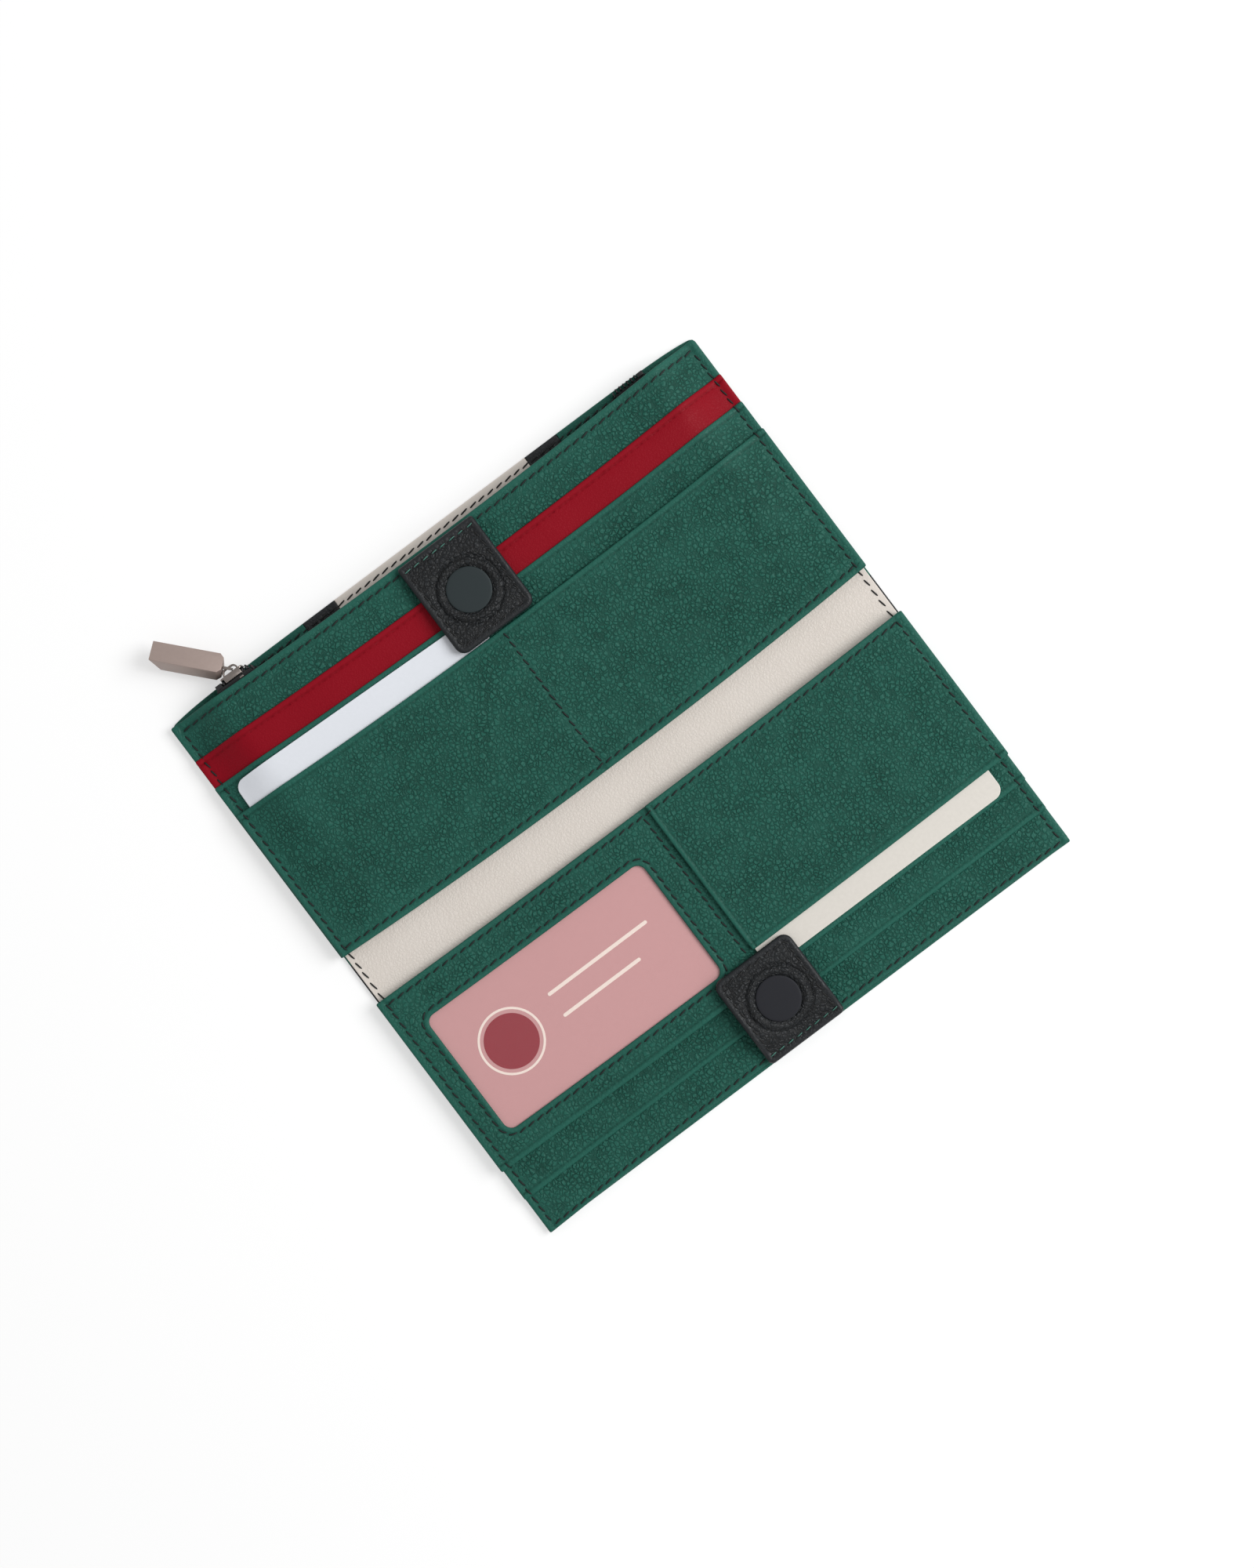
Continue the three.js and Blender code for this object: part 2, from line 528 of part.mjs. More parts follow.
// Slider: an outer and an inner plate held apart by a wedge, with lips that keep the rows in.
function addSlider(middle, halfWidth) {
  const slider = new THREE.Group();
  slider.position.set(sliderRestX, 0, middle);
  wallet.add(slider);
  const reach = halfWidth - lipClearance;
  const outerY = rowPlane + rowThickness + runClearance;
  const innerY = tapeFoldY - runClearance;
  const half = sliderLength / 2;
  const plate = (wide, narrow) => {
    const shape = new THREE.Shape();
    shape.moveTo(-half, -narrow);
    shape.lineTo(-half * 0.2, -narrow);
    shape.quadraticCurveTo(half * 0.3, -wide, half * 0.6, -wide);
    shape.lineTo(half, -wide * 0.8);
    shape.lineTo(half, wide * 0.8);
    shape.lineTo(half * 0.6, wide);
    shape.quadraticCurveTo(half * 0.3, wide, -half * 0.2, narrow);
    shape.lineTo(-half, narrow);
    return shape;
  };
  const outer = runAlongY(outline(-half, half, -reach, reach, [1, 1, 1, 1]), outerY, outerY + sliderPlate);
  const innerReach = halfWidth - rowInset + runClearance;
  const inner = runAlongY(plate(innerReach, sliderTail / 2), innerY - sliderPlate, innerY);
  const wedge = new THREE.Shape();
  const gap = halfWidth - rowInset - rowRoot - toothLength - runClearance;
  wedge.moveTo(-half * 0.2, 0);
  wedge.lineTo(half * 0.7, -gap);
  wedge.quadraticCurveTo(half, 0, half * 0.7, gap);
  const post = runAlongY(wedge, innerY - sliderPlate / 2, outerY + sliderPlate / 2);
  const lipShape = (sign) => {
    const low = sign > 0 ? reach - sliderLip : -reach;
    return outline(-half + 1, half - 1, low, low + sliderLip);
  };
  const lipFrom = tapeFoldY + tapeThickness + runClearance;
  const lips = merge(
    runAlongY(lipShape(1), lipFrom, outerY + sliderPlate / 2),
    runAlongY(lipShape(-1), lipFrom, outerY + sliderPlate / 2)
  );
  addPiece(slider, 'slider_body', merge(outer, inner, post, lips), darkMetal);

  // The bail is an arch along X over the outer plate, with a long eye for the link.
  const bailFoot = outerY + sliderPlate + layerGap;
  const b = bailLength / 2;
  const arch = new THREE.Shape();
  arch.moveTo(-b, bailFoot);
  arch.lineTo(b, bailFoot);
  arch.quadraticCurveTo(b, bailFoot + bailHeight, b * 0.4, bailFoot + bailHeight);
  arch.lineTo(-b * 0.4, bailFoot + bailHeight);
  arch.quadraticCurveTo(-b, bailFoot + bailHeight, -b, bailFoot);
  const eye = new THREE.Path();
  eye.moveTo(-b + bailWire, bailFoot + bailWire * 0.6);
  eye.lineTo(b - bailWire, bailFoot + bailWire * 0.6);
  eye.quadraticCurveTo(b - bailWire, bailFoot + bailHeight - bailWire, b * 0.3, bailFoot + bailHeight - bailWire);
  eye.lineTo(-b * 0.3, bailFoot + bailHeight - bailWire);
  eye.quadraticCurveTo(-b + bailWire, bailFoot + bailHeight - bailWire, -b + bailWire, bailFoot + bailWire * 0.6);
  arch.holes.push(eye);
  addPiece(slider, 'slider_bail', prism(arch, -bailWidth / 2, bailWidth / 2), darkMetal);
}

// Pull: a closed link whose far side is the pivot in the bail, and a square-edged bar.
function addPull(middle) {
  const pull = new THREE.Group();
  pull.position.set(sliderRestX + pivotOffsetX, pivotY, middle);
  pull.rotation.z = THREE.MathUtils.degToRad(pullDirection);
  wallet.add(pull);
  const w = linkWire / 2;
  const armInside = linkInside / 2;
  const pin = disc(w, 0, 0, -armInside - linkWire, armInside + linkWire, 12);
  const arm = (z0) => block(-w, barStart - runClearance, -w, w, z0, z0 + linkWire);
  addPiece(pull, 'pull_link', merge(pin, arm(armInside), arm(-armInside - linkWire)), darkMetal);

  const end = barStart + barLength;
  const side = new THREE.Shape(); // the bar seen from its side, along its width
  side.moveTo(barStart, -barDepth / 2);
  side.lineTo(end - barTipCut, -barDepth / 2);
  side.lineTo(end, barDepth / 2);
  side.lineTo(barStart, barDepth / 2);
  const top = new THREE.Shape(); // the bar seen from above, with its near corners bevelled
  top.moveTo(barStart, -barWidth / 2 + barBevel);
  top.lineTo(barStart + barBevel, -barWidth / 2);
  top.lineTo(end, -barWidth / 2);
  top.lineTo(end, barWidth / 2);
  top.lineTo(barStart + barBevel, barWidth / 2);
  top.lineTo(barStart, barWidth / 2 - barBevel);
  const bar = runAlongY(side, -barWidth / 2 - 1, barWidth / 2 + 1).intersect(prism(top, -barDepth, barDepth));
  const roll = new THREE.Group();
  roll.rotation.x = THREE.MathUtils.degToRad(barRoll);
  pull.add(roll);
  addPiece(roll, 'pull_bar', bar, taupeMetal);
}

addSpine();
addLowerHalf();
const { mouthTop } = addUpperHalf();
const { middle, halfWidth } = addZip(mouthTop);
addSlider(middle, halfWidth);
addPull(middle);

export default wallet;
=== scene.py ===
import math

import bmesh
import bpy
import numpy as np
from mathutils import Matrix, Vector
from mathutils.geometry import delaunay_2d_cdt


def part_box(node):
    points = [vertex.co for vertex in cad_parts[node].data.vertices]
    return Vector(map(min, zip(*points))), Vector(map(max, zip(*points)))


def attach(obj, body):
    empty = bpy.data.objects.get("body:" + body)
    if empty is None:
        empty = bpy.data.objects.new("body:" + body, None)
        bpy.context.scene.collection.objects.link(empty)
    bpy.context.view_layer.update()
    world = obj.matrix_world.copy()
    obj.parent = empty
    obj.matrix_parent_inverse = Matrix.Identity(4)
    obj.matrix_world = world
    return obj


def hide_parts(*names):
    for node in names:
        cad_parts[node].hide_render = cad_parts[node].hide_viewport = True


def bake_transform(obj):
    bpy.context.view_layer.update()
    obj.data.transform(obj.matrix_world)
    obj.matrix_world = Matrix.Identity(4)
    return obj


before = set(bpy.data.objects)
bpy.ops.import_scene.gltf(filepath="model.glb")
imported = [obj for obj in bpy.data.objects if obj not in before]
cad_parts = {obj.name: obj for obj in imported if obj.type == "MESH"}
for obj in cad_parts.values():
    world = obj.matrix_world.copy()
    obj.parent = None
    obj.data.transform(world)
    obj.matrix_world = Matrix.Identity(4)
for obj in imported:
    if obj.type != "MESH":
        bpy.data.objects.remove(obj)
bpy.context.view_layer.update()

mm = 0.001
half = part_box("spine_cover")[1].x / mm
layout = {
    "bowDepth": 2.6,  # how far the upper stack sags towards the spine
    "bowPower": 2.2,
    "bowCentre": 4,
    "slopeStart": 14.0,  # where the zip pocket starts to lift the upper stack
    "slopeEnd": 84.0,
    "rampOut": 93.5,
    "rampIn": 78.0,
    "mouth": 7.1,
    "stitchPitch": 3.2,
    "stitchLength": 2.5,
    "threadWidth": 0.47,
}


def eased(t):
    return t * t * (3 - 2 * t)


# how far the leather lies nearer to the spine at x
def bow(x):
    away = np.abs(x - layout["bowCentre"]) / (half + layout["bowCentre"])
    return layout["bowDepth"] * (1 - np.clip(away, 0, 1) ** layout["bowPower"])


# lift of the upper stack over the zip pocket
def rise(x, y):
    ramp = layout["rampOut"] - layout["rampIn"]
    slope = layout["slopeEnd"] - layout["slopeStart"]
    across = eased(np.clip((layout["rampOut"] - np.abs(x)) / ramp, 0, 1))
    return layout["mouth"] * across * np.clip((y - layout["slopeStart"]) / slope, 0, 1)


def flat(x, y):
    return np.zeros_like(x)


# finishes
def newMaterial(name):
    mat = bpy.data.materials.new(name)
    mat.use_nodes = True
    nodes, links = mat.node_tree.nodes, mat.node_tree.links
    return mat, nodes, links, nodes["Principled BSDF"]


# linear values of a colour given in 0 to 255
def linear(rgb):
    return [((c / 255 + 0.055) / 1.055) ** 2.4 if c > 10 else c / 255 / 12.92 for c in rgb]


def addRamp(nodes, links, source, stops):
    ramp = nodes.new("ShaderNodeValToRGB")
    links.new(source, ramp.inputs["Fac"])
    while len(ramp.color_ramp.elements) < len(stops):
        ramp.color_ramp.elements.new(0.5)
    for element, (place, colour) in zip(ramp.color_ramp.elements, stops):
        element.position = place
        element.color = (*colour, 1)
    return ramp.outputs["Color"]


def addBump(nodes, links, shader, height, strength, distance):
    bump = nodes.new("ShaderNodeBump")
    bump.inputs["Strength"].default_value = strength
    bump.inputs["Distance"].default_value = distance
    links.new(height, bump.inputs["Height"])
    links.new(bump.outputs["Normal"], shader.inputs["Normal"])


# a socket spread over a range of values
def addRange(nodes, links, source, low, high, top=1.0, kind="LINEAR"):
    spread = nodes.new("ShaderNodeMapRange")
    spread.interpolation_type = kind
    spread.inputs["From Max"].default_value = top
    spread.inputs["To Min"].default_value = low
    spread.inputs["To Max"].default_value = high
    links.new(source, spread.inputs["Value"])
    return spread.outputs["Result"]


def addNoise(nodes, links, place, scale, detail):
    noise = nodes.new("ShaderNodeTexNoise")
    noise.inputs["Scale"].default_value = scale
    noise.inputs["Detail"].default_value = detail
    links.new(place, noise.inputs["Vector"])
    return noise.outputs


# slot: the colour slot in the library; dark, base and light: colours in 0 to 255; foldShade: how
# much darker the folds between the cells are painted, as painted shade
leatherLooks = {
    "greenPebble": {"slot": "green_leather", "dark": (12, 54, 45), "base": (31, 87, 75),
                    "light": (46, 104, 92), "grain": 780, "bump": 0.75, "rough": 0.5,
                    "specular": 0.17, "foldShade": 0.3},
    "redSmooth": {"slot": "red_leather", "dark": (110, 2, 16), "base": (131, 6, 24),
                  "light": (148, 20, 38), "grain": 1300, "bump": 0.16, "rough": 0.5,
                  "specular": 0.1, "foldShade": 0.06},
    "blackPebble": {"slot": "black_leather", "dark": (9, 11, 13), "base": (24, 27, 30),
                    "light": (44, 47, 51), "grain": 800, "bump": 0.7, "rough": 0.46,
                    "specular": 0.34, "foldShade": 0.4},
    "blackPressed": {"slot": "black_smooth", "dark": (32, 40, 42), "base": (38, 46, 48),
                     "light": (45, 52, 54), "grain": 2600, "bump": 0.03, "rough": 0.5,
                     "specular": 0.22, "foldShade": 0.0},
    "darkPressed": {"slot": "black_smooth", "dark": (27, 28, 33), "base": (31, 32, 37),
                    "light": (36, 37, 43), "grain": 2600, "bump": 0.02, "rough": 0.55,
                    "specular": 0.2, "foldShade": 0.0},
    "creamGrain": {"slot": "cream_leather", "dark": (196, 186, 176), "base": (212, 204, 196),
                   "light": (222, 215, 208), "grain": 1000, "bump": 0.24, "rough": 0.55,
                   "specular": 0.25, "foldShade": 0.08},
}
# slot, colour, roughness and what else differs from makePlain's own settings
fibre = {"noise": 0.25, "scale": 2500}
plainLooks = {
    "darkThread": ("black_cloth", (5, 14, 13), 0.7, fibre),
    "blackThread": ("black_cloth", (7, 8, 9), 0.7, fibre),
    "greenThread": ("black_cloth", (58, 108, 96), 0.55, {"noise": 0.2, "scale": 2500}),
    "whiteCard": ("white_card", (216, 219, 225), 0.4, {"noise": 0.01}),
    "creamCard": ("cream_card", (207, 202, 194), 0.45, {"noise": 0.02}),
    "pinkCard": ("pink_card", (192, 141, 141), 0.45, {"noise": 0.01}),
    "cardBand": ("red_leather", (137, 24, 40), 0.5, {"noise": 0.05, "scale": 1500}),
    "cardLine": ("cream_card", (232, 214, 204), 0.5, {"noise": 0.01}),
    "zipCoil": ("black_teeth", (20, 20, 23), 0.4, {"noise": 0.1}),
    "gunmetal": ("dark_metal", (146, 137, 132), 0.26, {"metal": 1.0, "noise": 0.06}),
    "taupeMetal": ("taupe_metal", (160, 143, 136), 0.45, {"metal": 0.35, "noise": 0.02}),
    "platedSteel": ("dark_metal", (140, 141, 145), 0.3, {"metal": 1.0, "noise": 0.03}),
    "clearFilm": ("clear_film", (245, 247, 247), 0.2, {"specular": 0.12, "alpha": 0.015}),
}

# scales are shares of the grain's, heights and tones are shares of the relief and the ramp
hide = {"warpScale": 0.8, "warp": 0.0016, "patchScale": 0.16, "smallScale": 2.3, "fineScale": 4,
        "foldWidth": 0.28, "domes": -0.75, "folds": 0.55, "small": -0.45, "fine": 0.22,
        "depth": (1.1, 0.35), "slowScale": 34, "slowTone": (0.18, 0.43), "fineTone": 0.2,
        "grooveShade": -0.3, "bumpDistance": 0.0004, "rough": (0.12, -0.03),
        "stops": (0.12, 0.5, 0.88)}


# pebbled hide: rounded cells with soft folds between them, on a slow change of colour; the folds
# and the pressed grooves are painted darker as painted shade
def makeLeather(name, look):
    mat, nodes, links, shader = newMaterial(name)
    grain = look["grain"]

    def combine(operation, first, second, third=None):
        node = nodes.new("ShaderNodeMath")
        node.operation = operation
        for socket, value in zip(node.inputs, (first, second, third)):
            if isinstance(value, (int, float)):
                socket.default_value = value
            elif value is not None:
                links.new(value, socket)
        return node.outputs[0]

    def mixed(first, share, base):
        return combine("MULTIPLY_ADD", first, share, base)

    def cells(feature, scale):
        node = nodes.new("ShaderNodeTexVoronoi")
        node.feature = feature
        node.inputs["Scale"].default_value = scale
        links.new(bent.outputs[0], node.inputs["Vector"])
        return node.outputs["Distance"]

    def attribute(label):
        node = nodes.new("ShaderNodeAttribute")
        node.attribute_name = label
        return node.outputs["Fac"]

    place = nodes.new("ShaderNodeTexCoord").outputs["Object"]
    warp = addNoise(nodes, links, place, grain * hide["warpScale"], 2)["Color"]
    bent = nodes.new("ShaderNodeVectorMath")
    bent.operation = "MULTIPLY_ADD"
    links.new(warp, bent.inputs[0])
    bent.inputs[1].default_value = [hide["warp"]] * 3
    links.new(place, bent.inputs[2])
    patches = addNoise(nodes, links, place, grain * hide["patchScale"], 2)["Fac"]
    domes = cells("F1", grain)
    small = cells("F1", grain * hide["smallScale"])
    fold = addRange(nodes, links, cells("DISTANCE_TO_EDGE", grain), 0, 1, hide["foldWidth"],
                    "SMOOTHERSTEP")
    fine = addNoise(nodes, links, place, grain * hide["fineScale"], 3)["Fac"]
    height = mixed(domes, hide["domes"], combine("MULTIPLY", fold, hide["folds"]))
    height = mixed(small, hide["small"], height)
    height = mixed(fine, hide["fine"], height)
    depth = mixed(patches, *hide["depth"])  # coarser and smoother parts of the hide
    depth = combine("MULTIPLY", depth, attribute("grain"))  # low where turned over or sewn down
    height = combine("MULTIPLY", height, depth)
    slow = addNoise(nodes, links, place, hide["slowScale"], 3)["Fac"]
    tone = mixed(slow, *hide["slowTone"])
    # painted shade: the colour darkens in the folds between the cells
    crease = combine("MULTIPLY", combine("SUBTRACT", fold, 1), depth)
    tone = mixed(crease, look["foldShade"], tone)
    tone = mixed(combine("SUBTRACT", fine, 0.5), hide["fineTone"], tone)
    # painted shade: the colour darkens along the creases that seams and turned hems press into the
    # top
    tone = mixed(attribute("groove"), hide["grooveShade"], tone)
    colours = [linear(look[k]) for k in ("dark", "base", "light")]
    links.new(addRamp(nodes, links, tone, list(zip(hide["stops"], colours))),
              shader.inputs["Base Color"])
    addBump(nodes, links, shader, height, look["bump"], hide["bumpDistance"])
    low, high = (look["rough"] + change for change in hide["rough"])
    links.new(addRange(nodes, links, fold, low, high), shader.inputs["Roughness"])
    shader.inputs["Specular IOR Level"].default_value = look["specular"]
    return mat


# one smooth finish with faint mottling in its colour, roughness and surface
def makePlain(name, rgb, rough, metal=0.0, noise=0.0, scale=900, specular=0.5, alpha=1.0):
    mat, nodes, links, shader = newMaterial(name)
    shader.inputs["Metallic"].default_value = metal
    shader.inputs["Specular IOR Level"].default_value = specular
    shader.inputs["Alpha"].default_value = alpha
    place = nodes.new("ShaderNodeTexCoord").outputs["Object"]
    grain = addNoise(nodes, links, place, scale, 4)["Fac"]
    stops = [(0.3, [c * (1 - noise) for c in linear(rgb)]),
             (0.7, [min(1, c * (1 + noise)) for c in linear(rgb)])]
    links.new(addRamp(nodes, links, grain, stops), shader.inputs["Base Color"])
    links.new(addRange(nodes, links, grain, rough - 0.05, rough + 0.05),
              shader.inputs["Roughness"])
    addBump(nodes, links, shader, grain, 0.08, 0.0001)
    return mat


# plain woven tape or lining
def makeCloth(name, rgb):
    mat, nodes, links, shader = newMaterial(name)
    place = nodes.new("ShaderNodeTexCoord").outputs["Object"]
    weave = nodes.new("ShaderNodeMath")
    weave.operation = "MAXIMUM"
    for socket, direction in zip(weave.inputs, ("X", "Y")):
        wave = nodes.new("ShaderNodeTexWave")
        wave.bands_direction = direction
        wave.inputs["Scale"].default_value = 480
        wave.inputs["Distortion"].default_value = 0.6
        links.new(place, wave.inputs["Vector"])
        links.new(wave.outputs["Fac"], socket)
    lin = linear(rgb)
    links.new(addRamp(nodes, links, weave.outputs[0], [(0.2, [c * 0.5 for c in lin]), (0.9, lin)]),
              shader.inputs["Base Color"])
    shader.inputs["Roughness"].default_value = 0.85
    addBump(nodes, links, shader, weave.outputs[0], 0.4, 0.0001)
    return mat


finish = {name: makeLeather(name, look) for name, look in leatherLooks.items()}
slots = {name: look["slot"] for name, look in leatherLooks.items()}
for name, (slot, rgb, rough, more) in plainLooks.items():
    finish[name], slots[name] = makePlain(name, rgb, rough, **more), slot
finish["liningCloth"] = makeCloth("liningCloth", (26, 27, 29))
slots["liningCloth"] = "black_cloth"
print("materials made:", len(finish))


# an object from points in millimetres
def newObject(name, points, faces, sharp=None):
    mesh = bpy.data.meshes.new(name)
    mesh.from_pydata([tuple(p) for p in np.array(points) * mm], [], faces)
    mesh.update()
    mesh.shade_smooth()
    if sharp:
        mesh.set_sharp_from_angle(angle=math.radians(sharp))
    obj = bpy.data.objects.new(name, mesh)
    bpy.context.scene.collection.objects.link(obj)
    return obj


def circle(cx, cy, r, count, start=0.0):
    return [(cx + r * math.cos(a), cy + r * math.sin(a))
            for a in np.linspace(0, 2 * math.pi, count + 1)[:-1] + start]


# outline of a rectangle, anticlockwise, with a radius for each corner from low x, low y on
def rounded(x0, x1, y0, y1, radii=(0, 0, 0, 0), step=1.2, turns=8):
    corners = [(x0, y0, 180), (x1, y0, 270), (x1, y1, 0), (x0, y1, 90)]
    points = []
    for (cx, cy, start), r in zip(corners, radii):
        if r < 1e-6:
            points.append((cx, cy))
            continue
        ox = cx + (r if cx == x0 else -r)
        oy = cy + (r if cy == y0 else -r)
        for k in range(turns + 1):
            a = math.radians(start + 90 * k / turns)
            points.append((ox + r * math.cos(a), oy + r * math.sin(a)))
    out = []
    for (ax, ay), (bx, by) in zip(points, points[1:] + points[:1]):
        n = max(1, int(math.hypot(bx - ax, by - ay) / step))
        out += [(ax + (bx - ax) * k / n, ay + (by - ay) * k / n) for k in range(n)]
    return np.array(out)


# the same loop moved inwards by d, or outwards for a hole that is listed clockwise
def insetLoop(loop, d):
    ahead = np.roll(loop, -1, axis=0) - loop
    ahead /= np.maximum(np.linalg.norm(ahead, axis=1, keepdims=True), 1e-9)
    behind = np.roll(ahead, 1, axis=0)
    normal = np.stack([-(ahead[:, 1] + behind[:, 1]), ahead[:, 0] + behind[:, 0]], axis=1)
    length = np.maximum(np.linalg.norm(normal, axis=1, keepdims=True), 0.5)
    return loop + normal / length ** 2 * 2 * d


# distance of each point to the nearest segment of the loops, a batch at a time
def distanceTo(points, loops, batch=2000):
    best = np.full(len(points), 1e9)
    for loop in loops:
        a, b = loop, np.roll(loop, -1, axis=0)
        ab = (b - a)[None]
        for i in range(0, len(points), batch):
            p = points[i:i + batch, None, :]
            t = ((p - a[None]) * ab).sum(2) / np.maximum((ab ** 2).sum(2), 1e-12)
            foot = a[None] + np.clip(t, 0, 1)[..., None] * ab
            near = np.linalg.norm(p - foot, axis=2).min(1)
            best[i:i + batch] = np.minimum(best[i:i + batch], near)
    return best


def insideLoop(points, loop):
    inside = np.zeros(len(points), bool)
    for (ax, ay), (bx, by) in zip(loop, np.roll(loop, -1, axis=0)):
        crosses = (ay > points[:, 1]) != (by > points[:, 1])
        with np.errstate(divide="ignore", invalid="ignore"):
            at = (bx - ax) * (points[:, 1] - ay) / (by - ay) + ax
        inside ^= crosses & (points[:, 0] < at)
    return inside


def bell(distance, width, power=2):
    return np.exp(-(distance / width) ** power)


# rings: where rows of points follow an edge; sides: the same for a crease, in its widths
sheetShape = {"round": 0.42, "roundShare": 0.6, "beadFrom": 0.6, "bead": 0.1,
              "beadAt": 1.0, "beadWidth": 0.55,
              "rings": (0.0, 0.05, 0.15, 0.3, 0.5, 0.8, 1.2, 1.7, 2.4), "gridGap": 2.7,
              "margin": (3, 2.9), "sides": (-2, -1, -0.4, 0.4, 1, 2), "creaseStep": 1.6,
              "pressed": 1.9, "pressedCrease": 2.2, "grooveDepth": 0.3, "grainLoss": 0.85,
              "waveFade": 6, "sharp": 50}


# points of a sheet and the triangles between them, cut to its outline and holes
def sheetPlan(loops, spacing, creases, extra):
    s = sheetShape
    points, edges = [], []
    for loop in loops:
        start, n = len(points), len(loop)
        edges += [(start + k, start + (k + 1) % n) for k in range(n)]
        for d in s["rings"]:
            points += [tuple(p) for p in insetLoop(loop, d)]
    low, high = loops[0].min(0) + s["margin"][0], loops[0].max(0) - s["margin"][1]
    grid = np.array([(x, y) for y in np.arange(low[1], high[1], spacing)
                     for x in np.arange(low[0], high[0], spacing)]).reshape(-1, 2)
    if len(grid):
        points += [tuple(p) for p in grid[distanceTo(grid, loops) > s["gridGap"]]]
    for line, depth, width in creases:
        for side in s["sides"]:
            d = side * width
            for (ax, ay), (bx, by) in zip(line[:-1], line[1:]):
                length = max(math.hypot(bx - ax, by - ay), 1e-6)
                nx, ny = -(by - ay) / length * d, (bx - ax) / length * d
                n = max(1, int(length / s["creaseStep"]))
                points += [(ax + (bx - ax) * k / n + nx, ay + (by - ay) * k / n + ny)
                           for k in range(n)]
    points += list(extra)
    result = delaunay_2d_cdt([Vector(p) for p in points], edges, [], 0, 1e-6)
    plan = np.array([(v.x, v.y) for v in result[0]])
    triangles = np.array([t for t in result[2] if len(t) == 3])
    centres = plan[triangles].mean(1)
    keep = insideLoop(centres, loops[0])
    for hole in loops[1:]:
        keep &= ~insideLoop(centres, hole)
    triangles = triangles[keep]
    used = np.unique(triangles)
    renumber = np.full(len(plan), -1)
    renumber[used] = np.arange(len(used))
    plan, triangles = plan[used], renumber[triangles]
    a, b, c = (plan[triangles[:, k]] for k in range(3))
    area = (b[:, 0] - a[:, 0]) * (c[:, 1] - a[:, 1]) - (b[:, 1] - a[:, 1]) * (c[:, 0] - a[:, 0])
    triangles[area < 0] = triangles[area < 0][:, ::-1]
    return plan, triangles


# top, underside and the walls that join them
def closedFaces(triangles, n):
    faces = [tuple(t) for t in triangles] + [tuple(t[::-1] + n) for t in triangles]
    sides = {}
    for t in triangles:
        for pair in ((t[0], t[1]), (t[1], t[2]), (t[2], t[0])):
            sides[pair] = True
    faces += [(j, i, i + n, j + n) for i, j in sides if (j, i) not in sides]
    return [tuple(int(k) for k in f) for f in faces]


# a sheet of leather between two heights; loops: its outline, then holes listed clockwise;
# creases: (line, depth, width) pressed into the top; relief: further height at x, y
def sheetMesh(name, loops, bottom, top, lift=flat, shift=None, spacing=2.4, creases=(),
              edgeRound=None, wave=0.0, seed=0, relief=None, extra=()):
    s = sheetShape
    plan, triangles = sheetPlan(loops, spacing, creases, extra)
    r = edgeRound
    if r is None:
        r = min(s["round"], (top - bottom) * s["roundShare"])
    d = distanceTo(plan, loops)
    drop = np.where(d < r, r - np.sqrt(np.maximum(r * r - (r - d) ** 2, 0)), 0)
    if top - bottom > s["beadFrom"] and edgeRound is None:
        drop -= s["bead"] * bell(d - s["beadAt"], s["beadWidth"])
    pressed = bell(d, s["pressed"], 4)
    groove = np.zeros_like(d)
    for line, depth, width in creases:
        away = distanceTo(plan, [np.array(list(line) + list(line)[::-1][1:-1])])
        dent = bell(away, width)
        drop += depth * dent
        pressed = np.maximum(pressed, bell(away, s["pressedCrease"] * width))
        # groove: where a crease is pressed in; the leather's colour reads it to paint shade along
        # the crease
        groove = np.maximum(groove, dent * depth / s["grooveDepth"])
    x, y = plan[:, 0], plan[:, 1]
    soft = (np.sin(x * 0.11 + seed) * np.sin(y * 0.17 + seed * 1.7)
            + 0.5 * np.sin(x * 0.31 + y * 0.23 + seed))
    soft = wave * soft * np.clip(d / s["waveFade"], 0, 1)
    if relief is not None:
        soft = soft + relief(x, y)
    moved = shift(x, y) if shift is not None else y
    lifted = lift(x, y)
    points = np.concatenate([np.stack([x, moved, lifted + top - drop + soft], 1),
                             np.stack([x, moved, lifted + bottom + np.zeros_like(x)], 1)])
    obj = newObject(name, points, closedFaces(triangles, len(x)), s["sharp"])
    grain = 1 - s["grainLoss"] * np.clip(pressed, 0, 1)
    for label, values in (("grain", grain), ("groove", groove)):
        layer = obj.data.attributes.new(label, "FLOAT", "POINT")
        layer.data.foreach_set("value", np.tile(values, 2).astype(np.float32))
    return obj


def dress(obj, body, look, *nodes, slot=None):
    obj.data.materials.clear()
    obj.data.materials.append(finish[look])
    if body:
        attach(obj, body)
    if nodes:
        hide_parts(*nodes)
    return obj


# seams: each stitch is a short thread that dips into the leather at both ends
stitchShape = {"sides": 6, "rings": 7, "offPlace": 0.06, "offLength": 0.04, "proud": 0.22,
               "dip": 0.62, "taper": 0.35, "flat": 0.8, "lean": 0.10}


